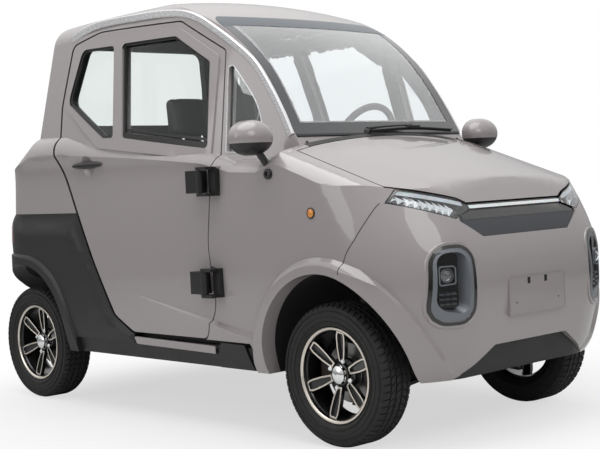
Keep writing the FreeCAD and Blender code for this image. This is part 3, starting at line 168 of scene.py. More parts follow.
# Lines that the facets stand between. Columns: Y, Z, slope. The foot is level up to its Y
FACET_FOOT = (0.344, 0.780, 0.3367)
FACET_TOP = (0.300, 0.812, 0.2375)
POD_TURN = math.radians(25.0)
POD_INSERT_PLACE = (1.2565, 0.424, 0.591)
VENT_TILT = 0.5
VENT_CORNER = (-0.004, -0.031, -0.060)
VENT_PITCH = (0.0215, 0.0165)
VENT_SIZE = Vector((0.011, 0.0195, 0.006))
PLATE_FACE_X = 1.307
STUD_Z = 0.548
INDICATOR_PLACE = (0.826, 0.811)
MIRROR_GLASS = (0.5505, 0.640, 1.083)
MIRROR_GLASS_HALVES = (0.074, 0.054)
MIRROR_FOOT = (0.614, 0.606, 0.952)
WIPER_PIVOT = (0.622, -0.100, 1.045)
WIPER_ARM = ((0.622, -0.100, 1.1085), (0.632, 0.000, 1.1150), (0.642, 0.130, 1.1190))
WIPER_BLADE = ((0.651, -0.110, 1.1000), (0.648, 0.130, 1.1090), (0.639, 0.372, 1.1000))
WIPER_RUBBER_DROP = Vector((0.004, 0.0, 0.006))

# Turned parts round their own axis. Columns: radius, height
NOZZLE_DOME = ((0.0003, 0.0042), (0.003, 0.0038), (0.0058, 0.0024), (0.0074, 0.0), (0.0003, -0.002))
INDICATOR_LENS = ((0.0003, 0.0082), (0.006, 0.0078), (0.0115, 0.0062), (0.0150, 0.003), (0.0152, -0.004),
                  (0.0003, -0.004))
INDICATOR_RING = ((0.0152, -0.004), (0.0154, 0.0035), (0.0170, 0.0042), (0.0192, 0.0026), (0.0200, -0.004))
PROJECTOR_RING = ((0.0206, -0.001), (0.0206, 0.005), (0.0225, 0.0065), (0.0245, 0.004), (0.0245, -0.001))
PROJECTOR_LENS = ((0.0003, 0.018), (0.008, 0.0165), (0.015, 0.0120), (0.0195, 0.005), (0.0203, 0.002),
                  (0.0003, 0.002))
PLATE_STUD = ((0.0003, 0.0016), (0.003, 0.0014), (0.0042, 0.0), (0.0003, -0.0005))
MIRROR_RING = ((0.0085, -0.009), (0.0085, 0.009), (0.012, 0.011), (0.019, 0.008), (0.019, -0.008),
               (0.012, -0.011))
WIPER_BASE = ((0.0003, 0.064), (0.011, 0.062), (0.0145, 0.057), (0.016, 0.044), (0.016, 0.0), (0.0003, 0.0))

# Frames of the sliding window: outline in the side view, lift over the side's surface and depth
WINDOW_FRAMES = (
    (((-0.268, 1.131, 0.002), (0.228, 1.0625, 0.002), (0.226, 1.0825, 0.002), (-0.268, 1.151, 0.002)),
     0.0005, 0.011),
    (((-0.264, 1.155, 0.002), (0.222, 1.0880, 0.002), (0.221, 1.0990, 0.002), (-0.266, 1.166, 0.002)),
     -0.007, 0.0045),
    (((-0.270, 1.150, 0.002), (-0.253, 1.148, 0.002), (-0.316, 1.508, 0.002), (-0.333, 1.508, 0.002)),
     -0.006, 0.0055),
)

# Padded pieces. Columns: name, low corner, high corner, channels, lean in radians
FRONT_PADS = (
    ("cushion", (-0.190, 0.040, 0.456), (0.230, 0.450, 0.580),
     ((1, 0.135), (1, -0.135), (0, 0.120), (0, 0.0)), 0.0),
    ("back", (-0.195, 0.050, 0.480), (-0.110, 0.440, 1.085),
     ((1, 0.130), (1, -0.130), (2, 0.12), (2, -0.08)), -0.160),
    ("headrest", (-0.293, 0.140, 1.125), (-0.232, 0.350, 1.285), ((1, 0.070), (1, -0.070)), -0.095),
)
BENCH_PADS = (
    ("cushion", (-0.735, -0.420, 0.506), (-0.430, 0.420, 0.592), ((1, 0.140), (1, -0.140), (0, 0.06)), 0.0),
    ("back", (-0.790, -0.420, 0.600), (-0.722, 0.420, 1.020), ((1, 0.140), (1, -0.140), (2, 0.05)), -0.130),
)
SEAT_FINISHES = ("woven_polyester", "smooth_leatherette")
HEADREST_POST = ((-0.243, 1.050), (-0.252, 1.110), (-0.265, 1.180))
SEAT_Y = 0.245
FOAM_ROUNDING = 0.022
PAD_CELL = 0.009
PAD_RISE = 0.016
SEAM_WIDTH = 0.008
SEAM_DEPTH = 0.008
CLOTH_FRAMES = 18
CLOTH_PRESSURE = 4.0
INSTRUMENT_Y = 0.195
INSTRUMENT_HALF_WIDTH = 0.12
INSTRUMENT_ARCH = 0.024

# Tyres. Outline columns: radius, place across, corner radius
TYRE_OUTLINE = ((0.161, 0.056, 0.0), (0.169, 0.056, 0.002), (0.181, 0.069, 0.008), (0.210, 0.0715, 0.03),
                (0.238, 0.066, 0.008), (0.243, 0.044, 0.012), (0.243, -0.044, 0.012), (0.238, -0.066, 0.008),
                (0.210, -0.0715, 0.03), (0.181, -0.069, 0.008), (0.169, -0.056, 0.002), (0.161, -0.056, 0.0))
SIDEWALL_RINGS = (0.186, 0.205, 0.224)
SIDEWALL_RIB = ((-0.0014, 0.069), (-0.0005, 0.0728), (0.0005, 0.0728), (0.0014, 0.069))
# Columns: middle of the row across the tyre, half width, slant of the cross grooves, gap share
TREAD_ROWS = ((-0.055, 0.0125, -0.004, 0.20), (-0.0275, 0.0105, -0.006, 0.16), (0.0, 0.0105, 0.006, 0.12),
              (0.0275, 0.0105, 0.006, 0.16), (0.055, 0.0125, 0.004, 0.20))
TREAD_BASE = 0.2425
TREAD_RADIUS = 0.25
SHOULDER = 0.040
SHOULDER_DROP = 16.0

# Rims. Spoke columns: distance from the axle, half width. Outline columns: radius, height, corner radius
SPOKE_PLATE = ((0.044, 0.012), (0.064, 0.015), (0.088, 0.0185), (0.120, 0.0205), (0.136, 0.0205),
               (0.1535, 0.0165))
SPOKE_BORDER = 0.0062
SPOKE_POCKET = 0.009
SPOKE_DEPTH = 0.018
SPOKES = 6
SPOKE_TURN = math.radians(100.0)
# Height of the wheel's face: from the hub's, at the start, it rises over the reach and flattens towards the rim
DISH_START, DISH_REACH = 0.040, 0.112
DISH_HUB, DISH_RISE, DISH_POWER = 0.026, 0.022, 0.8
NUTS = 4
NUT_PLACE = (0.050, 0.023, 0.0)
NUT_TURN = math.radians(20.0)
NUT_RADIUS, NUT_DEPTH, NUT_CHAMFER = 0.0098, 0.016, 0.003
RIM_OUTLINE = ((0.1680, 0.0585, 0.001), (0.1660, 0.0610, 0.001), (0.1600, 0.0610, 0.001),
               (0.1560, 0.0570, 0.001), (0.1530, 0.0450, 0.002), (0.1500, 0.0400, 0.003),
               (0.1460, -0.0400, 0.004), (0.1540, -0.0570, 0.002), (0.1680, -0.0610, 0.001),
               (0.1610, -0.0520, 0.0), (0.1610, 0.0520, 0.0))
LIP_HEIGHT, LIP_RADIUS = 0.0555, 0.1555
HUB = ((0.0005, -0.012), (0.060, -0.012), (0.062, 0.006), (0.058, 0.014), (0.042, 0.016), (0.038, 0.028),
       (0.0005, 0.028))
HUB_CAP = ((0.034, 0.026), (0.034, 0.036), (0.031, 0.043), (0.024, 0.048), (0.012, 0.051), (0.0003, 0.052))
BRAKE_DISC = ((0.104, -0.026), (0.104, -0.018), (0.058, -0.018), (0.052, -0.013), (0.0005, -0.013),
              (0.0005, -0.026))

# Finishes by the name of the real material: colour, roughness, other sockets, then what changes over the
# surface. Columns of a change: socket, pattern, cell in millimetres, detail, and its two ends, which are
# two values, two colours or a bump's strength and its height in millimetres
PAINT = "sprayed_clearcoat_paint"
FINISHES = {
    # Two-layer body paint, sprayed: a soft warm grey under a hard clear gloss with slight orange peel
    PAINT: ("9D9696", 0.42, {"Coat Weight": 1.0, "Coat Roughness": 0.04, "Specular IOR Level": 0.35}, (
        ("Coat Normal", "noise", 5.0, 2.0, 0.05, 0.25),)),
    # Grained black bumper plastic, injection moulded: a dull sheen broken by a fine leather grain
    "moulded_polypropylene": ("161617", 0.5, {}, (
        ("Roughness", "noise", 60.0, 3.0, 0.42, 0.58), ("Base Color", "noise", 35.0, 3.0, "131314", "1B1B1D"),
        ("Normal", "grain", 1.8, 0.0, 0.25, 0.12))),
    # Piano-black ABS, moulded and polished: deep black with clear reflections and hairline swirl marks
    "gloss_black_abs": ("0B0B0D", 0.12, {"Coat Weight": 0.6, "Coat Roughness": 0.03}, (
        ("Roughness", "noise", 25.0, 4.0, 0.08, 0.2),)),
    # Glass-filled nylon of handles, hinge covers and the wiper: satin black, faintly uneven
    "satin_black_nylon": ("161617", 0.38, {}, (
        ("Roughness", "noise", 12.0, 3.0, 0.3, 0.46), ("Normal", "noise", 0.9, 2.0, 0.12, 0.06))),
    # Tempered glass of the side and rear windows, drawn and rolled: clear, with little reflection
    "tempered_glass": ("F1F5F4", 0.0, {"Transmission Weight": 1.0, "IOR": 1.3}, (
        ("Roughness", "noise", 180.0, 1.0, 0.0, 0.012),)),
    # Laminated windscreen: clear, with a strong reflection of the sky on its slope
    "laminated_glass": ("F3F6F9", 0.0, {"Transmission Weight": 1.0, "IOR": 1.5, "Coat Weight": 1.0,
                                        "Coat IOR": 1.9, "Coat Roughness": 0.02}, (
        ("Roughness", "noise", 180.0, 1.0, 0.0, 0.01),)),
    # Printed shade band on the windscreen's top: smoky blue-grey
    "shade_band_glass": ("424B54", 0.22, {}, (("Roughness", "noise", 90.0, 1.0, 0.18, 0.26),)),
    # Ceramic ink baked on the glass: dark blue-black under a glossy pane
    "ceramic_frit": ("15191D", 0.25, {"Coat Weight": 1.0, "Coat Roughness": 0.02}, (
        ("Base Color", "noise", 4.0, 2.0, "12161A", "1B2025"),)),
    # Extruded EPDM weather strip: dull black with a soft edge sheen
    "epdm_rubber": ("111112", 0.62, {"Sheen Weight": 0.15}, (("Normal", "noise", 1.2, 2.0, 0.15, 0.05),)),
    # Vulcanised tyre rubber: charcoal, dusty in the low places, with a matte, slightly open skin
    "tyre_rubber": ("1F1F20", 0.72, {"Specular IOR Level": 0.4}, (
        ("Base Color", "noise", 22.0, 4.0, "191919", "2A2928"), ("Roughness", "noise", 14.0, 3.0, 0.6, 0.82),
        ("Normal", "noise", 1.0, 3.0, 0.2, 0.08))),
    # Powder-coated wheel: near-black enamel with a soft gloss and tiny pits
    "black_wheel_enamel": ("121213", 0.28, {"Coat Weight": 0.4, "Coat Roughness": 0.1}, (
        ("Normal", "noise", 1.5, 2.0, 0.1, 0.05),)),
    # Cast alloy, machined and lacquered: bright warm metal with fine cutting marks
    "machined_aluminium": ("D9D2C8", 0.24, {"Metallic": 1.0}, (
        ("Roughness", "noise", 2.2, 4.0, 0.18, 0.34), ("Normal", "noise", 2.2, 4.0, 0.08, 0.04))),
    # Nickel-chrome plating over polished plastic or steel: a bright mirror with faint haze
    "chrome_plate": ("E6E7E8", 0.06, {"Metallic": 1.0}, (("Roughness", "noise", 18.0, 3.0, 0.04, 0.12),)),
    # Extruded trim rail, brushed along its length and anodised: a wide soft bright streak
    "anodised_aluminium": ("DEDEE0", 0.28, {"Metallic": 0.55}, (
        ("Roughness", "brushed", 1.0, 3.0, 0.2, 0.36),)),
    # Pressed and welded steel under the car, dipped black and wax-sprayed: uneven satin with dust
    "wax_coated_steel": ("17181A", 0.5, {}, (
        ("Base Color", "noise", 40.0, 5.0, "131416", "25231F"), ("Roughness", "noise", 25.0, 4.0, 0.4, 0.7),
        ("Normal", "noise", 3.0, 3.0, 0.2, 0.2))),
    # Sand-cast iron of knuckles, axle and caliper: rough dark grey with a trace of brown
    "cast_iron": ("4A4846", 0.55, {"Metallic": 0.8}, (
        ("Base Color", "noise", 16.0, 5.0, "3E3D3C", "57504A"), ("Normal", "noise", 1.6, 4.0, 0.45, 0.3))),
    # Brake disc face, turned and worn bright by the pads: grey steel
    "turned_steel": ("8E8D8B", 0.35, {"Metallic": 1.0}, (("Roughness", "noise", 6.0, 4.0, 0.25, 0.5),)),
    # Thin blow-moulded wheel-arch liner: dead black with a felt-like surface
    "moulded_liner": ("0D0D0E", 0.85, {}, (("Normal", "noise", 3.0, 4.0, 0.35, 0.4),)),
    # Clear acrylic lamp cover, moulded: water-clear with a hard gloss
    "lamp_acrylic": ("F2F5F7", 0.0, {"Transmission Weight": 1.0, "IOR": 1.49}, (
        ("Roughness", "noise", 120.0, 1.0, 0.0, 0.01),)),
    # Orange acrylic of the side indicator: deep amber with a ribbed back that breaks up the light
    "amber_acrylic": ("D9820C", 0.12, {"Coat Weight": 1.0, "Coat Roughness": 0.02, "Subsurface Weight": 0.4,
                                       "Subsurface Scale": 0.006}, (
        ("Base Color", "upright_ribs", 26.0, 0.0, "C8690A", "F0A21C"),)),
    # Red acrylic of the tail lamps: dark ruby with prism ribs inside
    "red_acrylic": ("8E0B0F", 0.1, {"Coat Weight": 1.0, "Coat Roughness": 0.02}, (
        ("Base Color", "level_ribs", 30.0, 0.0, "5E0508", "A81218"),)),
    # Opal light guide of the daytime lamp: milky white, soft and even
    "lit_white_acrylic": ("F4F6F8", 0.2, {"Subsurface Weight": 0.3, "Subsurface Scale": 0.01,
                                          "Coat Weight": 0.5}, (
        ("Roughness", "noise", 9.0, 1.0, 0.15, 0.3),)),
    # Painted lamp surround: smooth mid-grey with a fine metallic sheen
    "satin_silver_plastic": ("74787D", 0.36, {"Metallic": 0.35}, (
        ("Roughness", "noise", 1.2, 2.0, 0.3, 0.42),)),
    # Smooth charcoal panel under the light strip: low gloss with a slightly lighter, bluish tone
    "dark_grille_plastic": ("33353A", 0.42, {}, (("Roughness", "noise", 2.0, 2.0, 0.36, 0.5),)),
    # Dashboard and door-card plastic, moulded with a pebble grain: dark grey and low gloss
    "grained_abs": ("232427", 0.58, {}, (
        ("Base Color", "noise", 30.0, 3.0, "1F2023", "2A2B2E"), ("Normal", "grain", 2.4, 0.0, 0.3, 0.15))),
    # Seat cloth, woven polyester: charcoal threads about 1.5 mm apart, drawn at 3 mm so that they show
    "woven_polyester": ("2A2B2F", 0.85, {"Sheen Weight": 0.4, "Sheen Roughness": 0.4}, (
        ("Base Color", "weave", 20.0, 0.0, "232428", "3A3B40"), ("Normal", "weave", 20.0, 0.0, 0.4, 0.5))),
    # Coated vinyl of the seat bolsters and the steering wheel: black with fine pores and soft gloss
    "smooth_leatherette": ("151517", 0.42, {"Coat Weight": 0.1}, (
        ("Roughness", "noise", 20.0, 3.0, 0.36, 0.5), ("Normal", "grain", 2.0, 0.0, 0.3, 0.12))),
    # Needle-punched felt of the headliner and side linings: dark grey fibres, quite matte
    "needled_felt": ("2B2B2D", 0.9, {"Sheen Weight": 0.25, "Sheen Roughness": 0.5}, (
        ("Base Color", "noise", 3.0, 4.0, "252527", "323234"), ("Normal", "noise", 1.6, 4.0, 0.3, 0.25))),
    # Silvered back of the mirror glass
    "mirror_silver": ("E8EAEC", 0.02, {"Metallic": 1.0}, (("Roughness", "noise", 60.0, 1.0, 0.01, 0.03),)),
    # Powder-coated battery case: dark grey satin
    "battery_steel": ("2B2D2F", 0.45, {"Metallic": 0.2}, (("Normal", "noise", 2.0, 3.0, 0.15, 0.1),)),
    # Matt emulsion on the studio's floor: white, with a roller's slight mottling
    "painted_studio_floor": ("F4F4F4", 0.9, {"Specular IOR Level": 0.0}, (
        ("Base Color", "noise", 300.0, 2.0, "F2F2F2", "F6F6F6"),)),
}
PAINT_FLECK = ("noise", 1.4, 1.0)
FLECK_SHARES = (0.965, 1.03)
BRUSH_STRETCH = (0.03, 1.0, 1.0)
WAVES = {"upright_ribs": ("X",), "level_ribs": ("Z",), "weave": ("Y", "DIAGONAL")}
MADE = {}


# Colours and nodes
def linear(colour):
    """Linear colour of an sRGB hex value such as B5ABA8."""
    parts = [int(colour[i:i + 2], 16) / 255 for i in (0, 2, 4)]
    return tuple(c / 12.92 if c <= 0.04045 else ((c + 0.055) / 1.055) ** 2.4 for c in parts) + (1.0,)


def per_metre(millimetres):
    """Texture scale at which one cell of a pattern measures that many millimetres."""
    return 1000.0 / millimetres


def add_node(material, kind, inputs=None, **settings):
    """Adds one node with its settings. Inputs hold a value or the socket that it takes its value from."""
    item = material.node_tree.nodes.new(kind)
    for name, value in settings.items():
        setattr(item, name, value)
    for key, value in (inputs or {}).items():
        if isinstance(value, bpy.types.NodeSocket):
            material.node_tree.links.new(value, item.inputs[key])
        else:
            item.inputs[key].default_value = value
    return item


def pattern(material, kind, millimetres, detail):
    """Value of a pattern with cells of that size on the object's own coordinates."""
    place = add_node(material, "ShaderNodeTexCoord").outputs["Object"]
    if kind == "brushed":
        place = add_node(material, "ShaderNodeMapping", {"Vector": place, "Scale": BRUSH_STRETCH}).outputs[0]
    inputs = {"Vector": place, "Scale": per_metre(millimetres)}
    if kind in ("noise", "brushed"):
        return add_node(material, "ShaderNodeTexNoise", dict(inputs, Detail=detail)).outputs["Fac"]
    if kind == "grain":
        return add_node(material, "ShaderNodeTexVoronoi", inputs).outputs["Distance"]
    waves = [add_node(material, "ShaderNodeTexWave", inputs, bands_direction=direction).outputs["Fac"]
             for direction in WAVES[kind]]
    if len(waves) == 1:
        return waves[0]
    return add_node(material, "ShaderNodeMath", dict(enumerate(waves)), operation="MULTIPLY").outputs[0]


def vary(material, shader, socket, value, first, second):
    """Lets a pattern's value drive one socket of the shader between two ends."""
    if socket == "Roughness":
        item = add_node(material, "ShaderNodeMapRange", {"Value": value, "To Min": first, "To Max": second})
        output = item.outputs[0]
    elif socket == "Base Color":
        ends = [linear(end) if isinstance(end, str) else end for end in (first, second)]
        item = add_node(material, "ShaderNodeMix", {"Factor": value, "A": ends[0], "B": ends[1]},
                        data_type="RGBA")
        output = item.outputs[2]
    else:
        item = add_node(material, "ShaderNodeBump",
                        {"Height": value, "Strength": first, "Distance": second / 1000.0})
        output = item.outputs[0]
    material.node_tree.links.new(output, shader.inputs[socket])


def finish(name):
    """The material of that name from the table, made once and then shared."""
    if name in MADE:
        return MADE[name]
    colour, roughness, sockets, changes = FINISHES[name]
    material = bpy.data.materials.new(name)
    material.use_nodes = True
    material.node_tree.nodes.clear()
    shader = add_node(material, "ShaderNodeBsdfPrincipled",
                      {"Base Color": linear(colour), "Roughness": roughness, **sockets})
    add_node(material, "ShaderNodeOutputMaterial", {"Surface": shader.outputs[0]})
    for socket, kind, millimetres, detail, first, second in changes:
        vary(material, shader, socket, pattern(material, kind, millimetres, detail), first, second)
    if name == PAINT:
        paint = bpy.context.scene.city_car_colours.paint
        ends = [tuple(min(1.0, c * share) for c in paint) + (1.0,) for share in FLECK_SHARES]
        vary(material, shader, "Base Color", pattern(material, *PAINT_FLECK), *ends)
    MADE[name] = material
    return material


# Mesh helpers
def add_piece(name, bm, finishes, body, sharp=35.0, side=1):
    """Makes the finished piece from its bmesh, mirrored to the right where side is -1."""
    if side < 0:
        mirror(bm)
    mesh = bpy.data.meshes.new(name)
    bm.to_mesh(mesh)
    bm.free()
    for item in (finishes,) if isinstance(finishes, str) else finishes:
        mesh.materials.append(finish(item))
    mesh.shade_smooth()
    mesh.set_sharp_from_angle(angle=math.radians(sharp))
    piece = bpy.data.objects.new(name, mesh)
    bpy.context.scene.collection.objects.link(piece)
    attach(piece, body)
    return piece


def on_both_sides(name, make, finishes, bodies=None, sharp=35.0):
    """A left piece and its mirrored twin, on the car or on the body that bodies gives for each side."""
    return [add_piece(name + "_" + letter, make(), finishes, bodies[side] if bodies else "car", sharp, side)
            for side, letter in LETTERS.items()]


def mirror(bm):
    bmesh.ops.scale(bm, vec=(1.0, -1.0, 1.0), verts=bm.verts)
    bmesh.ops.reverse_faces(bm, faces=bm.faces)


def moved(bm, place):
    bmesh.ops.translate(bm, vec=place, verts=bm.verts)
    return bm


def turned(bm, angle, axis, place=(0.0, 0.0, 0.0), centre=(0.0, 0.0, 0.0)):
    """Turns a part by that many radians about an axis through the centre, then moves it."""
    bmesh.ops.rotate(bm, verts=bm.verts, cent=centre, matrix=Matrix.Rotation(angle, 3, axis))
    return moved(bm, place)


def facing(bm, outward, place):
    """Turns a part made round the Y axis to face outwards, then moves it."""
    turn = Vector((0.0, 1.0, 0.0)).rotation_difference(outward).to_matrix()
    bmesh.ops.rotate(bm, verts=bm.verts, cent=(0, 0, 0), matrix=turn)
    return moved(bm, place)


def joined(parts):
    """One bmesh that holds all of the parts."""
    parts = list(parts)
    for part in parts[1:]:
        merge_in(parts[0], part)
    return parts[0]


def soften(piece, width, angle):
    """Rounds the piece's edges that are sharper than the angle in degrees."""
    edge = piece.modifiers.new("edge_softening", "BEVEL")
    edge.width = width
    edge.segments = 2
    edge.limit_method = "ANGLE"
    edge.angle_limit = math.radians(angle)
    return edge


def tidy(bm):
    bmesh.ops.remove_doubles(bm, verts=bm.verts, dist=1e-6)
    bmesh.ops.recalc_face_normals(bm, faces=bm.faces)
    return bm


def rounded(outline, steps=4):
    """Points of an outline of (u, v, radius) with each corner as an arc."""
    points = []
    count = len(outline)
    for i, (u, v, radius) in enumerate(outline):
        here = Vector((u, v))
        before = (Vector(outline[i - 1][:2]) - here).normalized()
        after = (Vector(outline[(i + 1) % count][:2]) - here).normalized()
        if radius <= 0:
            points.append(here)
            continue
        half = before.angle(after) / 2
        centre = here + (before + after).normalized() * radius / math.sin(half)
        start = here + before * radius / math.tan(half) - centre
        end = here + after * radius / math.tan(half) - centre
        for k in range(steps + 1):
            spoke = start.lerp(end, k / steps)
            points.append(centre + spoke.normalized() * radius)
    return points


def spun(profile, steps=64, closed=False):
    """Surface of revolution about the Y axis of (radius, height) points."""
    bm = bmesh.new()
    verts = [bm.verts.new((point[0], point[1], 0.0)) for point in profile]
    edges = [bm.edges.new(pair) for pair in zip(verts, verts[1:])]
    if closed:
        edges.append(bm.edges.new((verts[-1], verts[0])))
    bmesh.ops.spin(bm, geom=verts + edges, axis=(0, 1, 0), cent=(0, 0, 0), angle=math.tau, steps=steps,
                   use_merge=True)
    return tidy(bm)


def merge_in(target, source):
    """Adds the source bmesh to the target one and frees it."""
    mesh = bpy.data.meshes.new("part")
    source.to_mesh(mesh)
    source.free()
    target.from_mesh(mesh)
    bpy.data.meshes.remove(mesh)


def repeated_round(bm, count):
    """Copies what the bmesh holds round the Y axis."""
    bmesh.ops.spin(bm, geom=bm.verts[:] + bm.edges[:] + bm.faces[:], axis=(0, 1, 0), cent=(0, 0, 0),
                   angle=math.tau * (count - 1) / count, steps=count - 1, use_duplicate=True)
    return bm


def side_y(x, z, lift=0.0):
    """How far out the left side of the greenhouse lies at that length and height."""
    axis_y = BELT_HALF_WIDTH - SIDE_PLAN_RADIUS
    radius = SIDE_PLAN_RADIUS - TUMBLEHOME * (z - BELT_Z) + lift
    return axis_y + math.sqrt(radius ** 2 - (x - SIDE_PLAN_CENTRE_X) ** 2)


def moved_in(outline, distance):
    """The same outline moved inwards, its rounded corners kept above a millimetre."""
    lines = []
    for i, (u, v, _) in enumerate(outline):
        start = Vector((u, v))
        along = (Vector(outline[(i + 1) % len(outline)][:2]) - start).normalized()
        lines.append((start + Vector((-along.y, along.x)) * distance, along))
    moved = []
    for i, (_, _, radius) in enumerate(outline):
        (first, d), (second, e) = lines[i - 1], lines[i]
        corner = first + d * ((second - first).cross(e) / d.cross(e))
        moved.append((corner.x, corner.y, max(radius - distance, 0.001) if radius > 0 else 0.0))
    return moved


def placed(points, view):
    """Points of an outline set up in the front or side view."""
    return [Vector((0.0, p[0], p[1])) if view == "front" else Vector((p[0], 0.0, p[1])) for p in points]


def sliced(bm, view, cell):
    """Cuts a flat sheet into cells, so that it can follow a curved surface."""
    for axis in ((1, 2) if view == "front" else (0, 2)):
        values = [vert.co[axis] for vert in bm.verts]
        place, last = min(values) + cell, max(values)
        while place < last:
            normal = Vector((0.0, 0.0, 0.0))
            normal[axis] = 1.0
            bmesh.ops.bisect_plane(bm, geom=bm.verts[:] + bm.edges[:] + bm.faces[:], dist=1e-6,
                                   plane_co=normal * place, plane_no=normal)
            place += cell
    return bm


def flat_sheet(outline, view, cell=0.03, steps=4):
    bm = bmesh.new()
    bm.faces.new([bm.verts.new(p) for p in placed(rounded(outline, steps), view)])
    bmesh.ops.triangulate(bm, faces=bm.faces[:])
    return sliced(bm, view, cell)


def flat_band(outline, view, margin, width, cell=0.03, steps=4):
    """Band of that width that runs round inside an outline, a margin away from its edge."""
    bm = bmesh.new()
    rings = []
    for inset in (margin, margin + width):
        rings.append([bm.verts.new(p) for p in placed(rounded(moved_in(outline, inset), steps), view)])
    for k in range(len(rings[0])):
        after = (k + 1) % len(rings[0])
        bm.faces.new((rings[0][k], rings[0][after], rings[1][after], rings[1][k]))
    return sliced(bm, view, cell)


def on_surface(point, tree, view, lift=0.0):
    """The point moved onto the outer surface that it covers in the front or left side view."""
    axis = 0 if view == "front" else 1
    toward = Vector((0.0, 0.0, 0.0))
    toward[axis] = -1.0
    hit = tree.ray_cast(Vector(point) - toward * 3.0, toward)[0]
    if hit is None:
        hit = tree.find_nearest(Vector(point) - toward * 1.2)[0]
    point = Vector(point)
    point[axis] = hit[axis] + lift
    return point


def draped(bm, tree, view, lift, depth):
    """Lays a flat sheet on a surface of the body and gives it its thickness."""
    for vert in bm.verts:
        vert.co = on_surface(vert.co, tree, view, lift)
    return thickened(bm, depth, 0 if view == "front" else 1)


def on_side(bm, lift, depth):
    """Lays a flat sheet of the side view on the side of the greenhouse."""
    for vert in bm.verts:
        vert.co.y = side_y(vert.co.x, vert.co.z, lift)
    return thickened(bm, depth, 1)


def round_section(radius, steps=8):
    return [(radius * math.cos(math.tau * k / steps), radius * math.sin(math.tau * k / steps))
            for k in range(steps)]


def flat_section(width, height):
    """Cross-section of a flat bar with its upper corners cut off."""
    w, h = width / 2, height / 2
    return [(-w, -h), (w, -h), (w, h * 0.3), (w * 0.7, h), (-w * 0.7, h), (-w, h * 0.3)]


def swept(points, section, up=(0.0, 0.0, 1.0), closed=False, taper=None):
    """Bar of one cross-section along a line of points, closed into a loop or with flat ends."""
    bm = bmesh.new()
    points = [Vector(point) for point in points]
    count = len(points)
    rings = []
    for i, point in enumerate(points):
        before = points[i - 1] if closed or i else point
        after = points[(i + 1) % count] if closed or i < count - 1 else point
        along = (after - before).normalized()
        across = along.cross(Vector(up)).normalized()
        lift = across.cross(along)
        size = 1.0 if taper is None else 1.0 + (taper - 1.0) * i / (count - 1)
        rings.append([bm.verts.new(point + across * a * size + lift * b * size) for a, b in section])
    pairs = list(zip(rings, rings[1:])) + ([(rings[-1], rings[0])] if closed else [])
    for first, second in pairs:
        for k in range(len(section)):
            after = (k + 1) % len(section)
            bm.faces.new((first[k], first[after], second[after], second[k]))
    if not closed:
        bm.faces.new(rings[0])
        bm.faces.new(rings[-1])
    return tidy(bm)


def smoothed(points, cuts=6):
    """A Catmull-Rom line through the points."""
    points = [Vector(point) for point in points]
    points = [points[0] * 2 - points[1]] + points + [points[-1] * 2 - points[-2]]
    line = []
    for a, b, c, d in zip(points, points[1:], points[2:], points[3:]):
        for k in range(cuts):
            t = k / cuts
            line.append((b * 2 + (c - a) * t + (a * 2 - b * 5 + c * 4 - d) * t ** 2
                         + (b * 3 - a - c * 3 + d) * t ** 3) / 2)
    line.append(points[-2])
    return line


def slab(low, high, bevel=0.002, segments=2):
    """Block between two corners with rounded edges."""
    low, high = Vector(low), Vector(high)
    bm = bmesh.new()
    bmesh.ops.create_cube(bm, size=1.0)
    bmesh.ops.scale(bm, vec=high - low, verts=bm.verts)
    bmesh.ops.translate(bm, vec=(low + high) / 2, verts=bm.verts)
    if bevel:
        bmesh.ops.bevel(bm, geom=bm.edges[:], offset=bevel, segments=segments, profile=0.5, affect="EDGES",
                        material=-1)
    return bm


def thickened(bm, depth, axis):
    """Gives an open sheet that faces forwards or left its thickness, towards the inside."""
    for face in bm.faces:
        face.normal_update()
        if face.normal[axis] < 0:
            face.normal_flip()
    made = bmesh.ops.extrude_face_region(bm, geom=bm.faces[:], use_keep_orig=True)
    moved = [item for item in made["geom"] if isinstance(item, bmesh.types.BMVert)]
    step = Vector((0.0, 0.0, 0.0))
    step[axis] = -depth
    bmesh.ops.translate(bm, vec=step, verts=moved)
    bmesh.ops.recalc_face_normals(bm, faces=bm.faces)
    return bm


def skin_of(*names):
    """Tree for finding points on the surfaces of CAD nodes."""
    bm = bmesh.new()
    for name in names:
        bm.from_mesh(NODES[name].data)
    tree = BVHTree.FromBMesh(bm)
    bm.free()
    return tree


def laid(outline, tree, lift, depth):
    """Sheet inside an outline of the front view, laid on the surface behind it."""
    return draped(flat_sheet(outline, "front"), tree, "front", lift, depth)


def dressed_copy(node, finishes, bevel=SOFT_EDGE, sharp=32.0, second=None, cuts=()):
    """A welded copy of a solid with smooth faces and softened edges, in the solid's place.

    A face gets the second finish where second(face) says so. Cuts are heights at which faces are
    split first, so that the seam between two finishes is straight.
    """
    bm = bmesh.new()
    bm.from_mesh(NODES[node].data)
    bmesh.ops.remove_doubles(bm, verts=bm.verts, dist=2e-5)
    bmesh.ops.dissolve_degenerate(bm, edges=bm.edges, dist=1e-5)
    for height in cuts:
        bmesh.ops.bisect_plane(bm, geom=bm.verts[:] + bm.edges[:] + bm.faces[:], dist=1e-6,
                               plane_co=(0.0, 0.0, height), plane_no=(0.0, 0.0, 1.0))
    if second:
        for face in bm.faces:
            face.normal_update()
            face.material_index = int(bool(second(face)))
    piece = add_piece(node + "_skin", bm, finishes, NODES[node]["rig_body"], sharp)
    if bevel:
        soften(piece, bevel, sharp)
    piece.modifiers.new("even_shading", "WEIGHTED_NORMAL").keep_sharp = True
    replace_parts(piece, node)


def faces_cabin(face):
    """Whether a face looks inwards at the middle of the cabin."""
    return face.normal.dot((CABIN_MIDDLE - face.calc_center_median()).normalized()) > FACING_CABIN


def in_zone(zone, face):
    """Whether the middle of a face lies within limits of X, distance from the middle plane, and Z."""
    middle = face.calc_center_median()
    return all(limits is None or limits[0] < value < limits[1]
               for value, limits in zip((middle.x, abs(middle.y), middle.z), zone))


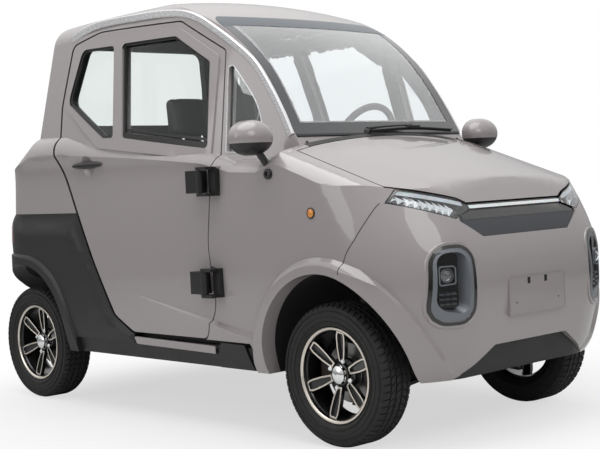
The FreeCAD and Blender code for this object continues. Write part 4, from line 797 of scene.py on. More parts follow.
def on_hinge_leaf(face):
    """Whether a face belongs to the black plates on the fender that carry the door hinges."""
    return any(in_zone(zone, face) for zone in HINGE_LEAVES)


def moved_to_wheel(bm, centre):
    """Turns an outward-facing left wheel part to the side that the wheel is on, and puts it there."""
    if centre.y < 0:
        mirror(bm)
    return moved(bm, centre)


def wheel_centre(letters):
    low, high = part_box("tyre_" + letters)
    return (low + high) / 2


# Settings
class CityCarColours(bpy.types.PropertyGroup):
    """Colours of the car that a user may change"""
    paint: bpy.props.FloatVectorProperty(
        name="Paint", description="Colour of the body paint under its clear coat", subtype="COLOR",
        size=3, min=0.0, max=1.0, default=linear(FINISHES[PAINT][0])[:3])


class CityCarSizes(bpy.types.PropertyGroup):
    """Sizes of the trim and wheels that a user may change"""
    groove: bpy.props.FloatProperty(
        name="Tread groove", description="Depth of the grooves in the tyre tread", unit="LENGTH",
        default=0.007, min=0.002, max=0.01)
    tread_pitches: bpy.props.IntProperty(
        name="Tread pitches", description="Blocks in each row round a tyre", default=60, min=24, max=90)
    seal: bpy.props.FloatProperty(
        name="Window seal", description="Width of the rubber seal round the side windows", unit="LENGTH",
        default=0.010, min=0.004, max=0.02)


# Stage
class BuildStage(bpy.types.Operator):
    """Camera of the photograph, white studio floor, lamps and world"""
    bl_idname = "city_car.stage"
    bl_label = "Stage and Camera"

    def execute(self, context):
        self.camera(context.scene)
        self.world(context.scene)
        self.floor(context.scene)
        self.lamps(context.scene)
        context.scene.view_settings.view_transform = "Standard"
        return {"FINISHED"}

    def camera(self, scene):
        azimuth, pitch, roll = (math.radians(a) for a in (CAMERA_AZIMUTH, CAMERA_PITCH, CAMERA_ROLL))
        forward = Vector((-math.sin(azimuth) * math.cos(pitch), math.cos(azimuth) * math.cos(pitch),
                          -math.sin(pitch)))
        level = Vector((math.cos(azimuth), math.sin(azimuth), 0.0))
        upward = level.cross(forward)
        right = math.cos(roll) * level - math.sin(roll) * upward
        up = math.cos(roll) * upward + math.sin(roll) * level
        data = bpy.data.cameras.new("photo_camera")
        data.sensor_width = SENSOR_WIDTH
        data.lens = FOCAL_PIXELS * SENSOR_WIDTH / PHOTO_WIDTH
        camera = bpy.data.objects.new("photo_camera", data)
        turn = Matrix((right, up, -forward)).transposed().to_4x4()
        camera.matrix_world = Matrix.Translation(CAMERA_PLACE) @ turn
        scene.collection.objects.link(camera)
        scene.camera = camera

    def world(self, scene):
        """White for the camera and through glass. Metal and gloss see a bright sky over a dark ground."""
        world = bpy.data.worlds.new("studio")
        world.use_nodes = True
        world.node_tree.nodes.clear()
        path = add_node(world, "ShaderNodeLightPath").outputs
        direction = add_node(world, "ShaderNodeTexCoord").outputs["Generated"]
        height = add_node(world, "ShaderNodeSeparateXYZ", {0: direction}).outputs["Z"]
        sky = add_node(world, "ShaderNodeMapRange",
                       {"Value": height, "From Min": GROUND_HEIGHT, "From Max": SKY_HEIGHT,
                        "To Min": GROUND_LIGHT, "To Max": SKY_LIGHT}).outputs[0]
        direct = self.maths(world, "LESS_THAN", path["Diffuse Depth"], 0.5)
        through = self.maths(world, "MULTIPLY", path["Is Transmission Ray"], direct)
        clear = self.maths(world, "MAXIMUM", through, path["Is Camera Ray"])
        ambient = add_node(world, "ShaderNodeMix", {0: path["Is Glossy Ray"], 2: AMBIENT_LIGHT, 3: sky})
        strength = add_node(world, "ShaderNodeMix", {0: clear, 2: ambient.outputs[0], 3: 1.0})
        back = add_node(world, "ShaderNodeBackground",
                        {"Color": (1, 1, 1, 1), "Strength": strength.outputs[0]})
        add_node(world, "ShaderNodeOutputWorld", {"Surface": back.outputs[0]})
        scene.world = world

    def maths(self, material, operation, first, second):
        return add_node(material, "ShaderNodeMath", {0: first, 1: second}, operation=operation).outputs[0]

    def floor(self, scene):
        """Pale floor that keeps the car's shadow and fades into the white backdrop."""
        material = finish("painted_studio_floor")
        nodes = {node.type: node for node in material.node_tree.nodes}
        place = add_node(material, "ShaderNodeTexCoord").outputs["Object"]
        away = add_node(material, "ShaderNodeVectorMath", {0: place}, operation="LENGTH").outputs["Value"]
        fade = add_node(material, "ShaderNodeMapRange",
                        {"Value": away, "From Min": FADE_START, "From Max": FADE_END, "To Min": SHADOW_FADE},
                        interpolation_type="SMOOTHSTEP").outputs[0]
        path = add_node(material, "ShaderNodeLightPath").outputs
        seen = self.maths(material, "MULTIPLY", fade, path["Is Camera Ray"])
        white = add_node(material, "ShaderNodeEmission").outputs[0]
        mix = add_node(material, "ShaderNodeMixShader",
                       {0: seen, 1: nodes["BSDF_PRINCIPLED"].outputs[0], 2: white})
        material.node_tree.links.new(mix.outputs[0], nodes["OUTPUT_MATERIAL"].inputs[0])
        bm = bmesh.new()
        bmesh.ops.create_circle(bm, cap_ends=True, segments=64, radius=FLOOR_RADIUS)
        mesh = bpy.data.meshes.new("studio_floor")
        bm.to_mesh(mesh)
        bm.free()
        mesh.materials.append(material)
        floor = bpy.data.objects.new("studio_floor", mesh)
        scene.collection.objects.link(floor)

    def lamps(self, scene):
        """A wide soft box overhead and two weaker ones beside the camera."""
        for name, place, target, size, power in LAMPS:
            data = bpy.data.lights.new(name, "AREA")
            data.shape = "DISK"
            data.size = size
            data.energy = power
            lamp = bpy.data.objects.new(name, data)
            turn = (Vector(target) - Vector(place)).to_track_quat("-Z", "Y").to_matrix().to_4x4()
            lamp.matrix_world = Matrix.Translation(place) @ turn
            scene.collection.objects.link(lamp)


# Solids that keep their shape. Columns: nodes, finishes, slot, bevel, faces with the second finish
DRESSED = (
    (("roof_panel", "rear_body"), (PAINT, "needled_felt"), "paint", SOFT_EDGE, faces_cabin),
    (("door_shell_l", "door_shell_r", "tailgate_shell"), (PAINT, "grained_abs"), "paint", SOFT_EDGE, faces_cabin),
    (("hood_panel",), PAINT, "paint", SOFT_EDGE, None),
    (("fender_l", "fender_r"), (PAINT, "moulded_polypropylene"), "paint", SOFT_EDGE, on_hinge_leaf),
    (("front_bumper",), PAINT, "paint_plastic", SOFT_EDGE, None),
    (("rear_cladding",), "moulded_polypropylene", "black_plastic", SOFT_EDGE, None),
    (("sills",), ("moulded_polypropylene", PAINT), "black_plastic", SOFT_EDGE, partial(in_zone, SILL_STRIP)),
    (("grille_panels",), ("dark_grille_plastic", "moulded_polypropylene"), "black_plastic", 0.002,
     partial(in_zone, LOWER_INTAKE)),
    (("arch_liners",), "moulded_liner", "black_plastic", 0.0, None),
    (("door_trim_l", "door_trim_r"), "satin_black_nylon", "black_plastic", 0.002, None),
    (("floor_pan", "bulkhead", "chassis_frame", "front_suspension"), "wax_coated_steel", "steel_black",
     SOFT_EDGE, None),
    (("knuckle_l", "knuckle_r", "rear_axle"), "cast_iron", "cast", SOFT_EDGE, None),
    (("battery_pack",), "battery_steel", "battery", 0.006, None),
    (("dashboard",), "grained_abs", "cabin_plastic", 0.004, None),
    (("steering_wheel",), "smooth_leatherette", "cabin_plastic", SOFT_EDGE, None),
    (("tail_lamps",), "red_acrylic", "red_lens", 0.003, None),
)


# Body
class BuildPanels(bpy.types.Operator):
    """Painted panels with their dark linings, claddings and the steel under the floor"""
    bl_idname = "city_car.panels"
    bl_label = "Panels and Underbody"

    def execute(self, context):
        for nodes, finishes, slot, bevel, second in DRESSED:
            for node in nodes:
                dressed_copy(node, finishes, bevel, second=second)
        for rail in on_both_sides("rail", self.rail, "anodised_aluminium"):
            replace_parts(rail, "roof_rails")
        on_both_sides("fender_seam", self.seam, "moulded_liner")
        return {"FINISHED"}

    def rail(self):
        """Smooth bright rail from the windscreen's foot over the door."""
        line = [(x, side_y(x, z, 0.002), z) for x, z in RAIL_LINE]
        return swept(smoothed(line), flat_section(0.029, 0.011), up=(0.0, 1.0, 0.0))

    def seam(self):
        """Dark line between the fender's and the front bumper's skin, from the lamp to the wheel arch."""
        skin = skin_of("fender_l", "front_bumper")
        line = [on_surface(p, skin, "side", 0.0002) for p in smoothed([(x, 0.0, z) for x, z in FENDER_SEAM])]
        return swept(line, flat_section(0.0026, 0.0014), up=SEAM_OUTWARD)


class BuildGlass(bpy.types.Operator):
    """Panes, their printed borders, the shade band and seal of the windscreen, and the washer nozzles"""
    bl_idname = "city_car.glass"
    bl_label = "Glass"

    def execute(self, context):
        for node in ("door_glass_l", "door_glass_r", "tailgate_glass"):
            dressed_copy(node, "tempered_glass", 0.0)
        dressed_copy("fixed_glass", ("laminated_glass", "tempered_glass"), 0.0,
                     second=partial(in_zone, QUARTER_PANES))
        screen = skin_of("fixed_glass", "roof_panel", "rear_body", "hood_panel", "fender_l", "fender_r")
        frit = draped(flat_band(SCREEN_BORDER, "front", 0.0, FRIT_WIDTH, 0.02), screen, "front", 0.0018, 0.001)
        for face in frit.faces:
            face.material_index = int(face.calc_center_median().z > SHADE_BAND_Z)
        add_piece("windscreen_border", frit, ("ceramic_frit", "shade_band_glass"), "car")
        on_both_sides("quarter_frit", self.quarter_frit, "ceramic_frit")
        add_piece("windscreen_seal", self.seal(screen), "epdm_rubber", "car")
        nozzles = joined(self.nozzle(screen, side) for side in LETTERS)
        add_piece("washer_nozzles", nozzles, "satin_black_nylon", "car")
        return {"FINISHED"}

    def quarter_frit(self):
        return on_side(flat_band(QUARTER_WINDOW, "side", 0.001, 0.007), -0.0172, 0.0006)

    def seal(self, screen):
        """Rubber lip along the foot of the windscreen, from one pillar to the other."""
        points = [on_surface((0.0, SCREEN_SEAL_REACH * k / 10.0, SCREEN_SEAL_Z), screen, "front", 0.0015)
                  for k in range(-10, 11)]
        return swept(points, flat_section(0.012, 0.007), up=SCREEN_NORMAL)

    def nozzle(self, screen, side):
        """Domed washer nozzle on the cowl in front of a lower corner of the windscreen."""
        y, z = WASHER_NOZZLE
        return facing(spun(NOZZLE_DOME, 24), SCREEN_NORMAL, on_surface((0.0, side * y, z), screen, "front"))


class BuildSideTrim(bpy.types.Operator):
    """Window seals, frames of the sliding windows, bright beads and side indicators"""
    bl_idname = "city_car.side_trim"
    bl_label = "Side Trim"

    def execute(self, context):
        width = context.scene.city_car_sizes.seal
        on_both_sides("window_seals", partial(self.seals, width), "epdm_rubber", DOOR_BODIES)
        on_both_sides("window_frames", self.frames, "satin_black_nylon", DOOR_BODIES)
        on_both_sides("quarter_bead", self.bead, "anodised_aluminium")
        on_both_sides("indicator_lens", partial(self.on_fender, INDICATOR_LENS, False), "amber_acrylic")
        on_both_sides("indicator_ring", partial(self.on_fender, INDICATOR_RING, True), "satin_black_nylon")
        return {"FINISHED"}

    def seals(self, width):
        return joined(on_side(flat_band(outline, "side", 0.0, width), -0.001, 0.0105)
                      for outline in (REAR_WINDOW, FRONT_WINDOW))

    def frames(self):
        """Lower rail of the sliding window, and the sill and upright of its pane."""
        return joined(on_side(flat_sheet(outline, "side", 0.05), lift, depth)
                      for outline, lift, depth in WINDOW_FRAMES)

    def bead(self):
        """Bright bead round the quarter window."""
        points = [(p.x, side_y(p.x, p.y, 0.0012), p.y) for p in rounded(moved_in(QUARTER_WINDOW, -0.002), 6)]
        return swept(points, flat_section(0.0035, 0.004), up=(0.0, 1.0, 0.0), closed=True)

    def on_fender(self, profile, closed):
        """Turned part of the indicator, lying on the fender's side."""
        fender = skin_of("fender_l")
        x, z = INDICATOR_PLACE
        centre, ahead, above = (on_surface(point, fender, "side") for point in
                                ((x, 0.0, z), (x + 0.02, 0.0, z), (x, 0.0, z + 0.02)))
        outward = (above - centre).cross(ahead - centre).normalized()
        return facing(spun(profile, 32, closed), outward, centre)


# Front end
class BuildLamps(bpy.types.Operator):
    """Headlamps with light guide and facets, light strip, and lamp pods with projectors and vents"""
    bl_idname = "city_car.lamps"
    bl_label = "Lamps"

    def execute(self, context):
        skin = skin_of("headlamps", "hood_panel", "fender_l", "front_bumper")
        strip = laid(LIGHT_STRIP, skin, -0.007, 0.006)
        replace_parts(add_piece("light_strip_base", strip, "gloss_black_abs", "car"), "headlamps")
        add_piece("light_strip_bar", laid(LIGHT_BAR, skin, -0.0005, 0.006), "lit_white_acrylic", "car")
        grille = laid(UPPER_GRILLE, skin_of("grille_panels"), 0.0008, 0.002)
        add_piece("grille_gloss_top", grille, "gloss_black_abs", "car")
        cover = moved_in(HEADLAMP, 0.0028)
        on_both_sides("headlamp_bowl", partial(self.bowl, skin), "gloss_black_abs")
        on_both_sides("headlamp_facets", partial(self.facets, skin), "chrome_plate", sharp=20.0)
        on_both_sides("headlamp_guide", partial(laid, LIGHT_GUIDE, skin, -0.005, 0.010), "lit_white_acrylic")
        on_both_sides("headlamp_cover", partial(laid, cover, skin, 0.0, 0.002), "lamp_acrylic")
        nose = skin_of("front_bumper", "lamp_pods")
        for name, make, finishes, slot in (
                ("pod_outline", partial(self.outline, nose), "gloss_black_abs", "lamp_plastic"),
                ("pod_lip", partial(self.lip, nose), PAINT, "paint_plastic"),
                ("pod_insert", self.insert, "gloss_black_abs", "lamp_plastic"),
                ("projector_frame", self.projector_frame, "satin_silver_plastic", "lamp_plastic"),
                ("projector_lens", self.projector_lens, "lamp_acrylic", "glass"),
                ("pod_vents", self.vents, "dark_grille_plastic", "black_plastic")):
            on_both_sides(name, make, finishes)
        dressed_copy("lamp_pods", "satin_silver_plastic", 0.003)
        return {"FINISHED"}

    def bowl(self, skin):
        """Dark back of the headlamp with the wall that runs round its edge."""
        bowl = laid(moved_in(HEADLAMP, 0.0012), skin, -0.030, 0.002)
        merge_in(bowl, draped(flat_band(HEADLAMP, "front", 0.0, 0.003), skin, "front", 0.0006, 0.031))
        return bowl

    def facets(self, skin):
        """Row of chrome wedges under the light guide, each with its point towards the front."""
        bm = bmesh.new()
        pitch = (FACET_END - FACET_START) / FACETS
        for k in range(FACETS):
            inner, outer = FACET_START + k * pitch, FACET_START + (k + FACET_SHARE) * pitch
            base = [(inner, self.facet_foot(inner)), (outer, self.facet_foot(outer)),
                    (outer, self.facet_top(outer)), (inner, self.facet_top(inner))]
            corners = [bm.verts.new(on_surface((0.0, y, z), skin, "front", FACET_BASE_LIFT)) for y, z in base]
            middle = sum(z for y, z in base) / 4
            tip = bm.verts.new(on_surface((0.0, inner + pitch * FACET_TIP_SHARE, middle), skin, "front",
                                          FACET_TIP_LIFT))
            bm.faces.new(corners)
            for i in range(4):
                bm.faces.new((corners[i], corners[(i + 1) % 4], tip))
        bmesh.ops.recalc_face_normals(bm, faces=bm.faces)
        return bm

    def facet_foot(self, y):
        start, z, slope = FACET_FOOT
        return z + max(0.0, y - start) * slope

    def facet_top(self, y):
        start, z, slope = FACET_TOP
        return z + (y - start) * slope

    def outline(self, nose):
        """Dark band round the mouth of the pod."""
        return draped(flat_band(moved_in(LAMP_POD, -0.0125), "front", 0.0, 0.0115), nose, "front", 0.0012, 0.003)

    def lip(self, nose):
        """Painted lip outside the band."""
        around = [on_surface((0.0, p.x, p.y), nose, "front", 0.0) for p in rounded(moved_in(LAMP_POD, -0.0170), 6)]
        return swept(around, flat_section(0.012, 0.009), up=(1.0, 0.0, 0.0), closed=True)

    def insert(self):
        return self.in_pod(thickened(flat_sheet(POD_INSERT, "front", 1.0), 0.040, 0))

    def projector_frame(self):
        """Squarish frame with a ring in it, ahead of the insert."""
        band = moved(flat_band(PROJECTOR_FRAME, "front", 0.0, 0.004, 1.0), (0.010, 0.0, 0.0))
        return self.in_pod(joined((thickened(band, 0.012, 0), self.ahead(spun(PROJECTOR_RING, 40, True)))))

    def projector_lens(self):
        return self.in_pod(self.ahead(spun(PROJECTOR_LENS, 40)))

    def vents(self):
        """Three rows of three tilted vanes."""
        vanes = []
        x, y, z = VENT_CORNER
        for row in range(3):
            for column in range(3):
                low = Vector((x, y + column * VENT_PITCH[0], z - row * VENT_PITCH[1]))
                vane = slab(low, low + VENT_SIZE, 0.0015)
                vanes.append(turned(vane, VENT_TILT, "Y", centre=low))
        return self.in_pod(joined(vanes))

    def ahead(self, bm):
        """Turns a part made round the Y axis to face along X."""
        return turned(bm, -QUARTER_TURN, "Z")

    def in_pod(self, bm):
        """Turns a part that faces along X outwards and puts it into the left pod."""
        return turned(bm, POD_TURN, "Z", POD_INSERT_PLACE)


class BuildFrontTrim(bpy.types.Operator):
    """Plate holder's slots, studs and edge, mirrors with their glass and feet, and the wiper"""
    bl_idname = "city_car.front_trim"
    bl_label = "Front Trim, Mirrors and Wiper"

    def execute(self, context):
        slots = joined(slab((PLATE_FACE_X - 0.001, y - 0.008, 0.533), (PLATE_FACE_X + 0.0006, y + 0.008, 0.555),
                            0.0003, 1) for y in (-0.048, 0.048))
        add_piece("plate_holder_slots", slots, "moulded_liner", "car")
        studs = [turned(spun(PLATE_STUD, 16), -QUARTER_TURN, "Z", (PLATE_FACE_X, y, STUD_Z))
                 for y in (-0.0655, 0.0655)]
        rim = moved(flat_band(PLATE_RIM, "front", 0.0, 0.0022, 1.0), (PLATE_FACE_X + 0.0012, 0.0, 0.0))
        add_piece("plate_holder_edge", joined(studs + [thickened(rim, 0.0016, 0)]), PAINT, "car")
        dressed_copy("mirrors", (PAINT, "satin_black_nylon"), 0.003,
                     second=partial(in_zone, MIRROR_SHELL), cuts=(MIRROR_SEAM_Z,))
        on_both_sides("mirror_glass", self.mirror_glass, "mirror_silver")
        on_both_sides("mirror_foot", self.mirror_foot, "satin_black_nylon")
        self.wiper()
        return {"FINISHED"}

    def mirror_glass(self):
        glass = bmesh.new()
        bmesh.ops.create_circle(glass, cap_ends=True, segments=48, radius=1.0)
        (x, y, z), (half_width, half_height) = MIRROR_GLASS, MIRROR_GLASS_HALVES
        oval = Matrix(((0, 0, 1, x), (half_width, 0, 0, y), (0, half_height, 0, z), (0, 0, 0, 1)))
        bmesh.ops.transform(glass, verts=glass.verts, matrix=oval)
        return thickened(glass, 0.002, 0)

    def mirror_foot(self):
        """Ring that the mirror's arm ends in, and its pad on the fender."""
        return joined((moved(spun(MIRROR_RING, 24, True), MIRROR_FOOT),
                       slab((0.588, 0.578, 0.938), (0.636, 0.600, 0.966), 0.006)))

    def wiper(self):
        """Arm, blade and rubber of the single wiper on its base."""
        base = turned(spun(WIPER_BASE, 32), QUARTER_TURN, "X", WIPER_PIVOT)
        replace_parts(add_piece("wiper_pivot", base, "satin_black_nylon", "car"), "wiper")
        blade, clip = smoothed(WIPER_BLADE), Vector(WIPER_BLADE[1])
        arm = joined((swept(smoothed(WIPER_ARM), flat_section(0.016, 0.009), taper=0.65),
                      swept(blade, flat_section(0.013, 0.006)),
                      slab(clip - Vector((0.010, 0.035, 0.004)), clip + Vector((0.010, 0.035, 0.009)), 0.003)))
        add_piece("wiper_arm", arm, "satin_black_nylon", "car")
        rubber = swept([point - WIPER_RUBBER_DROP for point in blade], flat_section(0.004, 0.007))
        add_piece("wiper_rubber", rubber, "epdm_rubber", "car")


# Cabin
def padded_piece(name, low, high, channels, turn):
    """Foam block in a sewn cover: blown up as cloth and held down along its channels.

    Channels are pairs of an axis and a place, in metres from the middle. The block leans by turn
    about its lower edge. It is slightly smaller than the real pad before the cloth fills out.
    """
    bm = slab(low, high, FOAM_ROUNDING, 3)
    mesh = bpy.data.meshes.new(name)
    bm.to_mesh(mesh)
    bm.free()
    pad = bpy.data.objects.new(name, mesh)
    bpy.context.scene.collection.objects.link(pad)
    remesh = pad.modifiers.new("even_cells", "REMESH")
    remesh.mode = "VOXEL"
    remesh.voxel_size = PAD_CELL
    even = bpy.data.meshes.new_from_object(pad.evaluated_get(bpy.context.evaluated_depsgraph_get()))
    pad.modifiers.clear()
    pad.data = even
    sewn = pad.vertex_groups.new(name="sewn")
    middle = (Vector(low) + Vector(high)) / 2
    for vert in even.vertices:
        gap = min(abs(vert.co[axis] - middle[axis] - place) for axis, place in channels)
        if gap < SEAM_WIDTH:
            sewn.add([vert.index], 1.0, "REPLACE")
            vert.co -= vert.normal * SEAM_DEPTH * (1.0 - gap / SEAM_WIDTH)
    fill_out(pad, [vert.co.copy() for vert in even.vertices])
    bm = bmesh.new()
    bm.from_mesh(pad.data)
    bmesh.ops.smooth_vert(bm, verts=bm.verts, factor=0.5, use_axis_x=True, use_axis_y=True, use_axis_z=True)
    for face in bm.faces:
        face.material_index = int(abs(face.calc_center_median().y - middle.y) > channels[0][1])
    bpy.data.objects.remove(pad)
    return turned(bm, turn, "Y", centre=Vector((low[0], middle.y, low[2])))


def fill_out(pad, start):
    """Runs the cloth under pressure and keeps each point near where it was."""
    scene = bpy.context.scene
    cloth = pad.modifiers.new("cover", "CLOTH")
    cloth.settings.use_pressure = True
    cloth.settings.uniform_pressure_force = CLOTH_PRESSURE
    cloth.settings.vertex_group_mass = "sewn"
    cloth.settings.effector_weights.gravity = 0.0
    cloth.point_cache.frame_start = 1
    cloth.point_cache.frame_end = CLOTH_FRAMES
    for moment in range(1, CLOTH_FRAMES + 1):
        scene.frame_set(moment)
    filled = bpy.data.meshes.new_from_object(pad.evaluated_get(bpy.context.evaluated_depsgraph_get()))
    pad.modifiers.clear()
    pad.data = filled
    for vert, before in zip(filled.vertices, start):
        step = vert.co - before
        if step.length > PAD_RISE:
            vert.co = before + step.normalized() * PAD_RISE
    scene.frame_set(1)


class BuildSeats(bpy.types.Operator):
    """Front seats and rear bench with padded, sewn covers, the bench's plinth and the headrest posts"""
    bl_idname = "city_car.seats"
    bl_label = "Seats"

    def execute(self, context):
        for pad in FRONT_PADS:
            for piece in on_both_sides("seat_" + pad[0], partial(padded_piece, *pad), SEAT_FINISHES,
                                       sharp=60.0):
                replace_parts(piece, "front_seats")
        for pad in BENCH_PADS:
            piece = add_piece("bench_" + pad[0], padded_piece(*pad), SEAT_FINISHES, "car", 60.0)
            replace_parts(piece, "rear_bench")
        plinth = slab((-0.708, -0.395, 0.263), (-0.445, 0.395, 0.498), 0.006)
        add_piece("bench_plinth", plinth, "grained_abs", "car")
        on_both_sides("seat_posts", self.posts, "chrome_plate")
        return {"FINISHED"}

    def posts(self):
        """Two posts of the headrest and the two hinge plates of the seat's back."""
        posts = [swept([(x, SEAT_Y + offset, z) for x, z in HEADREST_POST], round_section(0.0065, 12),
                       up=(0.0, 1.0, 0.0)) for offset in (-0.05, 0.05)]
        plates = [slab((-0.205, SEAT_Y + low, 0.470), (-0.095, SEAT_Y + high, 0.520), 0.005)
                  for low, high in ((-0.222, -0.208), (0.208, 0.222))]
        return joined(posts + plates)


class BuildCabin(bpy.types.Operator):
    """Instrument hood, screen and air vents of the dashboard"""
    bl_idname = "city_car.cabin"
    bl_label = "Cabin"

    def execute(self, context):
        hood = slab((0.452, 0.075, 1.000), (0.560, 0.315, 1.032), 0.012, 3)
        for vert in hood.verts:
            vert.co.z += INSTRUMENT_ARCH * (1.0 - ((vert.co.y - INSTRUMENT_Y) / INSTRUMENT_HALF_WIDTH) ** 2)
        add_piece("instrument_hood", hood, "grained_abs", "car", 50.0)
        screen = slab((0.4405, 0.095, 0.966), (0.4475, 0.295, 1.040), 0.002)
        add_piece("instrument_screen", screen, "gloss_black_abs", "car")
        vents = joined(part for y in (-0.44, -0.10, 0.03, 0.44) for part in self.vent(y))
        add_piece("dashboard_vents", vents, "satin_black_nylon", "car")
        return {"FINISHED"}

    def vent(self, y):
        """Five vanes and the frame round them."""
        vanes = [slab((0.424, y - 0.045, z), (0.438, y + 0.045, z + 0.0045), 0.001, 1)
                 for z in (0.915 + k * 0.011 for k in range(5))]
        band = flat_band(rectangle((y - 0.052, 0.908), (y + 0.052, 0.970), 0.008), "front", 0.0, 0.005, 1.0)
        return vanes + [thickened(moved(band, (0.440, 0.0, 0.0)), 0.016, 0)]


# Wheels
class BuildTyres(bpy.types.Operator):
    """Radial tyres with rows of tread blocks and ringed sidewalls"""
    bl_idname = "city_car.tyres"
    bl_label = "Tyres"

    def execute(self, context):
        sizes = context.scene.city_car_sizes
        for letters, body in WHEEL_BODIES.items():
            rings = [spun([(radius + step, height) for step, height in SIDEWALL_RIB], 96, True)
                     for radius in SIDEWALL_RINGS]
            rows = [self.block_row(row, sizes.groove, sizes.tread_pitches) for row in TREAD_ROWS]
            bm = joined([spun(rounded(TYRE_OUTLINE, 3), 96, True)] + rings + rows)
            piece = add_piece("tyre_" + letters + "_tread", moved_to_wheel(bm, wheel_centre(letters)),
                              "tyre_rubber", body, 28.0)
            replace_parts(piece, "tyre_" + letters)
        return {"FINISHED"}

    def block_row(self, row, groove, pitches):
        """Blocks of one row, each slanted and rounded down towards the shoulder."""
        middle, half, slant, gap = row
        pitch = math.tau * TREAD_RADIUS / pitches
        bm = bmesh.new()
        bmesh.ops.create_cube(bm, size=1.0)
        bmesh.ops.scale(bm, vec=(pitch * (1 - gap), half * 2, groove + 0.002), verts=bm.verts)
        across = [e for e in bm.edges if abs((e.verts[0].co - e.verts[1].co).y) > half]
        bmesh.ops.subdivide_edges(bm, edges=across, cuts=1)
        bmesh.ops.bevel(bm, geom=[e for e in bm.edges if min(v.co.z for v in e.verts) > 0], offset=SOFT_EDGE,
                        segments=1, profile=0.5, affect="EDGES", material=-1)
        for vert in bm.verts:
            y = middle + vert.co.y
            vert.co.x += slant * vert.co.y / half
            drop = max(0.0, abs(y) - SHOULDER)
            radius = TREAD_BASE + vert.co.z + (groove - 0.002) / 2 - drop * drop * SHOULDER_DROP
            angle = vert.co.x / TREAD_RADIUS
            vert.co = Vector((radius * math.sin(angle), y, radius * math.cos(angle)))
        return repeated_round(bm, pitches)


def dish(radius):
    """Height of the wheel's face over the axle's middle: recessed at the hub, out at the rim."""
    share = min(1.0, max(0.0, (radius - DISH_START) / DISH_REACH))
    return DISH_HUB + DISH_RISE * share ** DISH_POWER


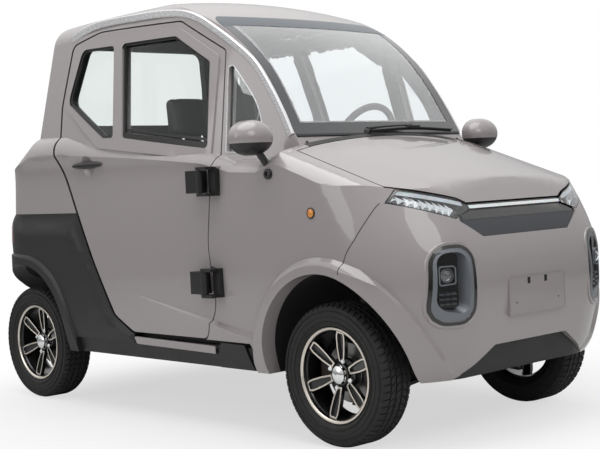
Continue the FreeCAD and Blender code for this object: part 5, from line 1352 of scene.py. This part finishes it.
class BuildRims(bpy.types.Operator):
    """Alloy wheels with pocketed machined spokes, nuts, cap and brake disc"""
    bl_idname = "city_car.rims"
    bl_label = "Alloy Wheels"

    def execute(self, context):
        for letters, body in WHEEL_BODIES.items():
            centre = wheel_centre(letters)
            bm = spun(rounded(RIM_OUTLINE, 2), 96, True)
            for face in bm.faces:
                middle = face.calc_center_median()
                on_lip = middle.y > LIP_HEIGHT and math.hypot(middle.x, middle.z) > LIP_RADIUS
                face.material_index = int(on_lip)
            bm = joined((bm, self.spokes(), spun(HUB, 48)))
            rim = add_piece("rim_" + letters + "_face", moved_to_wheel(bm, centre),
                            ("black_wheel_enamel", "machined_aluminium"), body, 30.0)
            soften(rim, 0.0008, 40.0)
            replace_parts(rim, "rim_" + letters)
            for part, bm, finishes in (("nuts", self.nuts(), "chrome_plate"),
                                       ("disc", spun(BRAKE_DISC, 64, True), "turned_steel")):
                add_piece("rim_" + letters + "_" + part, moved_to_wheel(bm, centre), finishes, body, 30.0)
        return {"FINISHED"}

    def spokes(self):
        """One pocketed spoke plate, copied round the wheel. Its border is machined, the rest black."""
        bm = bmesh.new()
        left = [bm.verts.new((r, 0.0, half)) for r, half in SPOKE_PLATE]
        right = [bm.verts.new((r, 0.0, -half)) for r, half in reversed(SPOKE_PLATE)]
        plate = bm.faces.new(left + right)
        bmesh.ops.recalc_face_normals(bm, faces=bm.faces)
        if plate.normal.y < 0:
            plate.normal_flip()
        body = bmesh.ops.extrude_face_region(bm, geom=[plate], use_keep_orig=True)
        lower = [v for v in body["geom"] if isinstance(v, bmesh.types.BMVert)]
        bmesh.ops.translate(bm, vec=(0.0, -SPOKE_DEPTH, 0.0), verts=lower)
        border = bmesh.ops.inset_region(bm, faces=[plate], thickness=SPOKE_BORDER, use_even_offset=True)
        walls = bmesh.ops.extrude_face_region(bm, geom=[plate])
        floor = [v for v in walls["geom"] if isinstance(v, bmesh.types.BMVert)]
        bmesh.ops.delete(bm, geom=[plate], context="FACES_ONLY")
        bmesh.ops.translate(bm, vec=(0.0, -SPOKE_POCKET, 0.0), verts=floor)
        for face in border["faces"]:
            face.material_index = 1
        bmesh.ops.recalc_face_normals(bm, faces=bm.faces)
        for vert in bm.verts:
            vert.co.y += dish(vert.co.x)
        return repeated_round(turned(bm, SPOKE_TURN, "Y"), SPOKES)

    def nuts(self):
        """Domed cap and six-sided nuts round it."""
        nut = bmesh.new()
        bmesh.ops.create_cone(nut, cap_ends=True, segments=6, radius1=NUT_RADIUS, radius2=NUT_RADIUS,
                              depth=NUT_DEPTH)
        turned(nut, -QUARTER_TURN, "X")
        top = max(nut.faces, key=lambda f: f.calc_center_median().y)
        bmesh.ops.inset_region(nut, faces=[top], thickness=NUT_CHAMFER)
        bmesh.ops.translate(nut, verts=top.verts, vec=(0.0, NUT_CHAMFER, 0.0))
        nut = turned(moved(nut, NUT_PLACE), NUT_TURN, "Y")
        return joined((spun(HUB_CAP, 40), repeated_round(nut, NUTS)))


class CityCarPanel(bpy.types.Panel):
    """Lists the steps that dress the car"""
    bl_label = "City Car"
    bl_idname = "VIEW3D_PT_city_car"
    bl_space_type = "VIEW_3D"
    bl_region_type = "UI"
    bl_category = "City Car"

    def draw(self, context):
        layout = self.layout
        layout.prop(context.scene.city_car_colours, "paint")
        for name in ("groove", "tread_pitches", "seal"):
            layout.prop(context.scene.city_car_sizes, name)
        for step in STEPS:
            layout.operator(step.bl_idname)


STEPS = (BuildStage, BuildPanels, BuildGlass, BuildSideTrim, BuildLamps, BuildFrontTrim, BuildSeats, BuildCabin,
         BuildTyres, BuildRims)
CLASSES = (CityCarColours, CityCarSizes) + STEPS + (CityCarPanel,)


def register():
    for item in CLASSES:
        bpy.utils.register_class(item)
    bpy.types.Scene.city_car_colours = bpy.props.PointerProperty(type=CityCarColours)
    bpy.types.Scene.city_car_sizes = bpy.props.PointerProperty(type=CityCarSizes)


def unregister():
    del bpy.types.Scene.city_car_sizes
    del bpy.types.Scene.city_car_colours
    for item in reversed(CLASSES):
        bpy.utils.unregister_class(item)


def main():
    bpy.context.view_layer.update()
    register()
    for step in STEPS:
        group, name = step.bl_idname.split(".")
        getattr(getattr(bpy.ops, group), name)()


if __name__ == "__main__":
    main()
